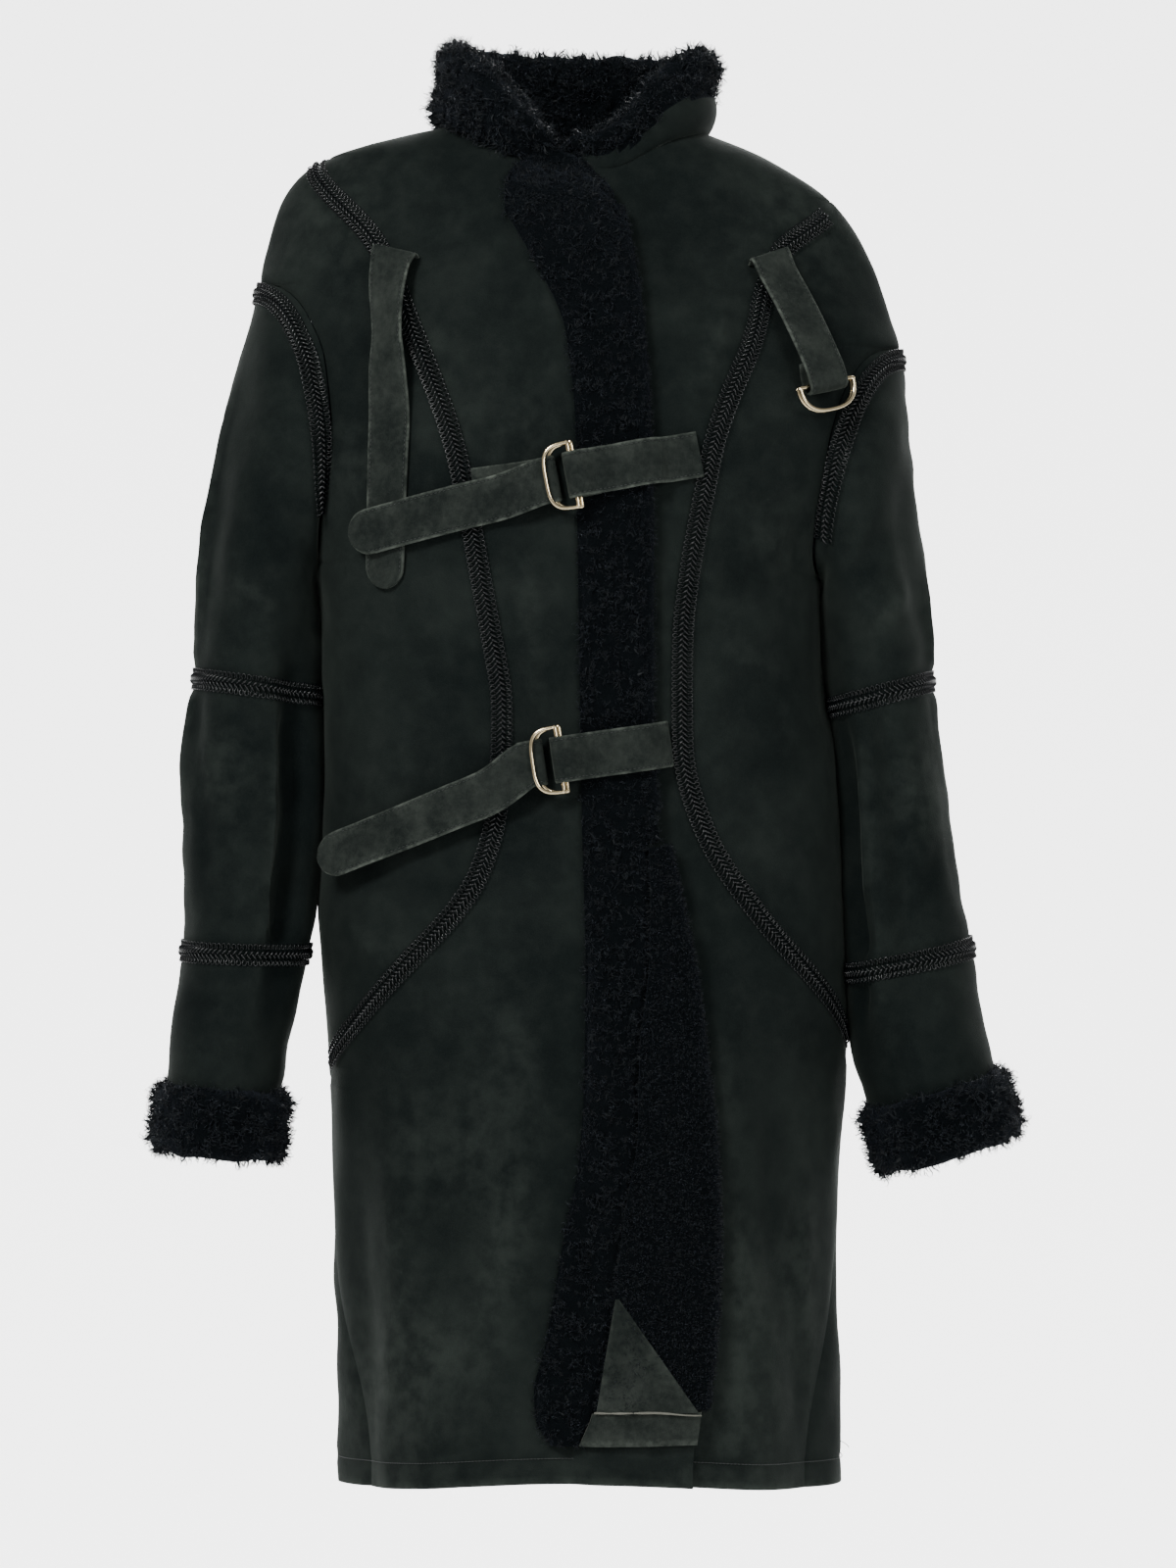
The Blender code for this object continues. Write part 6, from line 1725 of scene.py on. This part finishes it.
def make_closure(name, plan):
    """Make one fastened strap: the strap with the rings, both rings and the folded-back tongue."""
    slope = plan["slope"]
    run = math.tan(math.radians(slope))
    loop_x, loop_z = plan["loop"]

    def along(distance):
        return loop_x + distance, loop_z + distance * run

    stations = []
    start_x, start_z = plan["start"]
    fold = float(FOLD_X(start_z))
    path = [(start_x + plan["runs_on"], RING_STRAP_FOOT), (start_x, RING_STRAP_FOOT)]
    path += [(fold + distance, lift) for distance, lift in RING_STRAP_CLIMB]
    path += [(loop_x + distance, lift) for distance, lift in RING_STRAP_UPPER]
    for x, lift in path:
        share = (x - loop_x) / (start_x - loop_x)
        stations.append(strap_station(x, loop_z + (start_z - loop_z) * share, lift, slope))
    stations += turn_stations(loop_x, loop_z, LOOP_MIDDLE, LOOP_RADIUS, slope, -1, 8)
    stations += [strap_station(*along(distance), LOOP_LOW, slope) for distance in RING_STRAP_TAIL]
    make_strap("strap_%s_rings" % name, stations, 31)

    for letter, bow_lift in (("a", BOW_A), ("b", BOW_B)):
        offset, bar_lift = BARS[letter]
        bar, normal = on_front(*along(offset), bar_lift)
        sweep = math.sqrt(RING_DEPTH ** 2 - (bow_lift - bar_lift) ** 2)
        bow, _ = on_front(*along(offset - sweep), bow_lift)
        make_ring("ring_%s_%s" % (name, letter), across_at(normal, slope), unit(bow - bar), bar, COAT)

    sweep_b = math.sqrt(RING_DEPTH ** 2 - (BOW_B - BARS["b"][1]) ** 2)
    bend_x, bend_z = along(BARS["b"][0] - sweep_b + TURN_AHEAD)
    low_x, low_z = plan["tongue_start"]
    low_slope = plan["tongue_slope"]
    stations = []
    for share in (0.0, 0.2, 0.4, 0.6, 0.8, 1.0):
        x, z = low_x + (bend_x - 0.001 - low_x) * share, low_z + (bend_z - low_z) * share
        turned = low_slope + (slope - low_slope) * share
        over = max(float(lap(x + 0.004, z)) - 0.0002, float(lap(x, z)))
        stations.append(strap_station(x, z, over + TONGUE_LOW - LAP_LIFT, turned))
    half_turn = turn_stations(bend_x, bend_z, BOW_B, TONGUE_HIGH - BOW_B, slope, 1)[::-1]
    stations += half_turn[1:]
    bow_x = along(BARS["a"][0] - RING_DEPTH)[0]
    down = plan["turn_down"]
    stations.append(strap_station(bow_x, bend_z - 0.001, TONGUE_HIGH, slope))
    stations.append(strap_station(bow_x - 0.006, bend_z - 0.003, TONGUE_HIGH - 0.0004, down))
    for k, (x, z) in enumerate(plan["tongue"]):
        over = max(float(lap(x, z)) + STRAP_CLEAR + STRAP_THICK * 1.5 + 0.0012, plan["stand_off"])
        stations.append(strap_station(x, z, over + 0.0004 * k, down))
    x, z = plan["tongue_end"]
    direction = unit(stations[-1][0] - stations[-2][0])
    reach = math.hypot(x - plan["tongue"][-1][0], z - plan["tongue"][-1][1]) - STRAP_WIDTH / 2
    last, across, width = stations[-1]
    stations.append((last + direction * max(reach, 0.004), across, width))
    make_strap("strap_%s_tongue" % name, round_end(stations), 33)


# Top of the hanging tongue, rolled in to its seam: x, z, height, slope across in degrees, width and
# how far its right edge turns forward in degrees.
TONGUE_TOP = (
    (-0.1392, -0.1082, -0.001, -22.0, 0.0375, 0.0), (-0.1394, -0.1068, 0.0036, -22.0, 0.038, 0.0),
    (-0.14, -0.108, 0.0074, -20.0, 0.038, 0.0), (-0.141, -0.1125, 0.0086, -15.0, 0.037, 4.0),
    (-0.1428, -0.12, 0.009, -6.0, 0.035, 8.0), (-0.144, -0.135, 0.01, 0.0, 0.034, 14.0),
    (-0.1436, -0.155, 0.0118, 0.0, 0.0335, 24.0), (-0.1432, -0.175, 0.012, 0.0, 0.0335, 26.0),
    (-0.1434, -0.2, 0.0092, 0.0, 0.034, 12.0),
)


# Top of the strap with the loose rings, rolled in to its seam: x, z, height and tilt in degrees.
RING_STRAP_TOP = (
    (0.144, -0.109, -0.001, -8.0), (0.1438, -0.1078, 0.0038, -8.0), (0.144, -0.1088, 0.0078, -7.0),
    (0.1458, -0.114, 0.0092, -4.0),
)


def make_loose_straps():
    """Make the undone top strap: its hanging tongue, and the strap with two loose rings."""
    stations = []
    hanging = [(*row, 0.0, STRAP_WIDTH * 0.98, 0.0) for row in FREE_TONGUE]
    for x, z, lift, slope, width, forward in (*TONGUE_TOP, *hanging):
        point, normal = on_front(x, z, lift)
        turned, slope = math.radians(forward), math.radians(slope)
        right = np.array((math.cos(slope), 0.0, math.sin(slope)))
        right = unit(right - np.dot(right, normal) * normal)
        right = unit(right * math.cos(turned) + normal * math.sin(turned))
        stations.append((point, -right, width))
    make_strap("strap_top_tongue", round_end(stations), 35)

    loop_x, loop_z, loop_lift = FREE_LOOP
    middle, normal = on_front(loop_x, loop_z, loop_lift)
    start, _ = on_front(*FREE_RING_STRAP[-1][:2], loop_lift)
    down = unit(middle - start)
    down = unit(down - np.dot(down, normal) * normal)
    sideways = unit(np.cross(normal, -down))
    stations = []
    for x, z, lift, tilt in RING_STRAP_TOP:
        turned = unit(sideways + math.tan(math.radians(tilt)) * down * np.sign(sideways[0]))
        stations.append((on_front(x, z, lift)[0], turned, STRAP_WIDTH))
    stations += [(on_front(x, z, lift)[0], sideways, STRAP_WIDTH) for x, z, lift in FREE_RING_STRAP]
    radius = FREE_LOOP_RADIUS
    stations.append((middle - down * 0.014 + normal * radius * 0.75, sideways, STRAP_WIDTH))
    for k in range(9):
        angle = math.pi / 2 - math.pi * k / 8
        stations.append((middle + down * radius * math.cos(angle) + normal * radius * math.sin(angle),
                         sideways, STRAP_WIDTH))
    stations.append((middle - down * 0.01 - normal * radius * 0.8, sideways, STRAP_WIDTH))
    stations.append((middle - down * 0.018 - normal * radius * 0.35, sideways, STRAP_WIDTH))
    make_strap("strap_top_rings", stations, 37)
    for letter, side in (("a", 1), ("b", -1)):
        make_ring("ring_loose_" + letter, sideways, down,
                  middle + normal * side * FREE_RING_SPREAD, LOOSE, 2.6)


def make_hem_stitches():
    """Lay the stitch line above the hem all the way round."""
    angle = full_turn(HEM_STITCHES)
    angle = angle[~((angle > FRONT_GAP[0]) & (angle < FRONT_GAP[1]))]
    level = np.full(len(angle), HEM_LEVEL + HEM_STITCH)
    ahead = body_point(angle + 0.002, level) - body_point(angle, level)
    found = body_point(angle, level)
    front = np.sin(angle) < 0
    lift = np.where(front, lap(found[:, 0], found[:, 2]), 0.0) + 0.0001
    piece = lay("hem_stitches", "stitch", lifted(angle, level, lift), unit(ahead),
                body_normal(angle, level), "thread", size=1.3, seed=41)
    settle(piece, COAT)


# Camera and stage
CAMERA_PLACE = (0.0062, -3.2, -0.515)
CAMERA_LENS = 92.9
FLOOR_LEVEL = -1.95
BACKDROP = 4.0           # how far behind the coat the backdrop stands
BACKDROP_LEVELS = (-2.0, 4.0)
STAGE_REACH = 6.0


def make_camera():
    """Make the camera that faces the coat's front."""
    data = bpy.data.cameras.new("camera")
    data.sensor_width = 36.0
    data.lens = CAMERA_LENS
    camera = link(bpy.data.objects.new("camera", data))
    camera.location = CAMERA_PLACE
    camera.rotation_euler = (math.pi / 2, 0.0, 0.0)
    bpy.context.scene.camera = camera


def add_light(name, place, size, power):
    """Add a large soft light that faces the middle of the coat."""
    data = bpy.data.lights.new(name, "AREA")
    data.shape = "DISK"
    data.size = size
    data.energy = power
    light = link(bpy.data.objects.new(name, data))
    light.location = place
    light.rotation_euler = (Vector((0.0, 0.0, -0.5)) - Vector(place)).to_track_quat("-Z", "Y").to_euler()


def make_stage(looks):
    """Make the pale floor and backdrop, the world's light and the studio lights."""
    plain_material("studio", 0.9, looks.studio_colour)
    reach = STAGE_REACH
    floor = [(-reach, -reach), (reach, -reach), (reach, reach), (-reach, reach)]
    floor = [(x, y, FLOOR_LEVEL) for x, y in floor]
    link(new_object("floor", floor, [(0, 1, 2, 3)], ("studio",)))
    shader = start_material("glow", 1.0, viewport=looks.studio_colour)[1]
    shader.inputs["Emission Color"].default_value = (*looks.studio_colour, 1.0)
    shader.inputs["Emission Strength"].default_value = looks.backdrop_light
    low, high = BACKDROP_LEVELS
    wall = [(x, BACKDROP, z) for x, z in ((-reach, low), (reach, low), (reach, high), (-reach, high))]
    link(new_object("backdrop", wall, [(0, 1, 2, 3)], ("glow",)))
    world = bpy.data.worlds.new("studio")
    world.use_nodes = True
    tree = world.node_tree
    back, seen = tree.nodes["Background"], new_node(tree, "ShaderNodeBackground")
    for node, strength in ((back, looks.world_light), (seen, looks.backdrop_light)):
        node.inputs["Color"].default_value = (*looks.studio_colour, 1.0)
        node.inputs["Strength"].default_value = strength
    ray = new_node(tree, "ShaderNodeLightPath").outputs["Is Camera Ray"]
    both = new_node(tree, "ShaderNodeMixShader")
    for target, value in zip(both.inputs, (ray, back.outputs[0], seen.outputs[0])):
        tree.links.new(value, target)
    tree.links.new(both.outputs[0], tree.nodes["World Output"].inputs["Surface"])
    bpy.context.scene.world = world
    add_light("key", (-1.5, -2.8, 1.4), 1.0, looks.key_light)
    add_light("fill", (1.9, -3.0, 0.3), 1.4, looks.key_light * 0.45)
    add_light("rim", (0.6, 2.4, 1.6), 1.4, looks.key_light * 0.6)


# Add-on
def colour(name, text, value):
    """Return a colour property."""
    return bpy.props.FloatVectorProperty(
        name=name, description=text, default=value, size=3, subtype="COLOR", min=0.0, max=1.0,
    )


def number(name, text, value, low=0.0, high=1000.0, unit="NONE"):
    """Return a number property."""
    return bpy.props.FloatProperty(
        name=name, description=text, default=value, min=low, max=high, unit=unit, precision=4,
    )


class CoatSizes(bpy.types.PropertyGroup):
    """Sizes of the coat's finer form."""
    cloth_step: number("Cloth step", "Spacing of the suede's points", 0.0065, 0.003, 0.02, "LENGTH")
    braid_pitch: number("Braid pitch", "Length of a braid repeat over its usual one", 1.0, 0.5, 3.0)
    fur_density: number("Fur density", "Locks on a square metre of the collar", 30000.0, 0.0, 90000.0)
    fur_size: number("Fur size", "Size of a lock over its usual one", 1.0, 0.2, 3.0)
    fur_sink: number(
        "Fur sink", "How deep the locks' roots lie under the outline", 0.0062, 0.0, 0.02, "LENGTH",
    )


class CoatLooks(bpy.types.PropertyGroup):
    """Colours of the coat and strength of the studio's light."""
    suede_dark: colour("Suede", "Suede in its depths", (0.0013, 0.003, 0.003))
    suede_pale: colour("Rubbed suede", "Suede where it is rubbed", (0.038, 0.047, 0.04))
    strap_dark: colour("Strap", "Suede of the straps", (0.0034, 0.0054, 0.0049))
    strap_pale: colour("Rubbed strap", "Suede of the straps at their edges", (0.08, 0.092, 0.078))
    edge_dark: colour("Raw edge", "Cut edge of the skin", (0.1, 0.1, 0.085))
    edge_pale: colour("Raw edge, pale", "Cut edge of the skin where it is palest", (0.3, 0.3, 0.25))
    fur_dark: colour("Fur", "Fur in its depths", (0.0007, 0.0014, 0.0018))
    fur_pale: colour("Fur, pale", "Palest locks", (0.0048, 0.0068, 0.008))
    cord_colour: colour("Braid", "Cords of the gimp braid", (0.0016, 0.0024, 0.0029))
    thread_colour: colour("Thread", "Stitches", (0.012, 0.015, 0.014))
    gold_colour: colour("Rings", "Pale gold of the rings", (0.72, 0.6, 0.38))
    studio_colour: colour("Studio", "Floor and backdrop", (0.93, 0.93, 0.93))
    world_light: number("World light", "Strength of the light from all round", 0.36, 0.0, 10.0)
    backdrop_light: number("Backdrop light", "Strength of the backdrop's glow", 3.6, 0.0, 10.0)
    key_light: number("Key light", "Power of the main light", 135.0, 0.0, 2000.0, "POWER")


def make_operator(label, text, work, *groups):
    """Return an operator class that does one part of the work from its groups of settings."""
    def execute(self, context):
        work(*(getattr(context.scene, group) for group in groups))
        return {"FINISHED"}
    return type("COAT_OT_" + label, (bpy.types.Operator,), {
        "__doc__": text, "bl_idname": "coat." + label, "bl_label": text.rstrip("."),
        "execute": execute})


def prepare_trees():
    """Build the geometry node trees and the motifs that they use."""
    TREES["locks"] = lock_tree()
    TREES["lay"] = lay_tree()
    make_locks()
    make_motifs()


def make_turned_front(sizes):
    """Make the whole turned-back front."""
    make_strip(sizes)
    make_revers(sizes)
    make_corner()


def make_all_closures():
    """Make both fastened straps."""
    for name, plan in CLOSURES.items():
        make_closure(name, plan)


STEPS = [make_operator(*row) for row in (
    ("camera", "Make the camera.", make_camera),
    ("materials", "Make the materials.", make_materials, "coat_looks"),
    ("trees", "Build the node trees and their motifs.", prepare_trees),
    ("braids", "Lay the gimp braids.", make_braids, "coat_sizes"),
    ("body", "Make the body's suede panels.", make_body_panels, "coat_sizes"),
    ("sleeves", "Make the sleeves' suede panels.", make_sleeve_panels, "coat_sizes"),
    ("cuffs", "Make the fur cuffs.", make_cuffs, "coat_sizes"),
    ("collar", "Make the fur collar.", make_collar, "coat_sizes"),
    ("turned_front", "Make the turned-back front.", make_turned_front, "coat_sizes"),
    ("closures", "Make the fastened straps and rings.", make_all_closures),
    ("loose_straps", "Make the undone straps and rings.", make_loose_straps),
    ("hem", "Lay the hem's stitches.", make_hem_stitches),
    ("clear", "Remove the motifs.", drop_motifs),
    ("stage", "Make the stage and its light.", make_stage, "coat_looks"),
)]


class COAT_PT_panel(bpy.types.Panel):
    """Panel that lists the coat's parts."""
    bl_label = "Suede coat"
    bl_space_type = "VIEW_3D"
    bl_region_type = "UI"
    bl_category = "Suede coat"

    def draw(self, context):
        """Draw the settings and a button for each part."""
        for group in (context.scene.coat_sizes, context.scene.coat_looks):
            for label in type(group).__annotations__:
                self.layout.prop(group, label)
        for step in STEPS:
            self.layout.operator(step.bl_idname)


CLASSES = [CoatSizes, CoatLooks, COAT_PT_panel, *STEPS]


def register():
    """Register the classes and the scene's settings."""
    for cls in CLASSES:
        bpy.utils.register_class(cls)
    bpy.types.Scene.coat_sizes = bpy.props.PointerProperty(type=CoatSizes)
    bpy.types.Scene.coat_looks = bpy.props.PointerProperty(type=CoatLooks)


def unregister():
    """Unregister the classes."""
    del bpy.types.Scene.coat_looks
    del bpy.types.Scene.coat_sizes
    for cls in reversed(CLASSES):
        bpy.utils.unregister_class(cls)


def main():
    """Make the coat and its stage, and write the two boxes."""
    register()
    for step in STEPS:
        getattr(bpy.ops.coat, step.bl_idname.split(".")[1])()


if __name__ == "__main__":
    main()
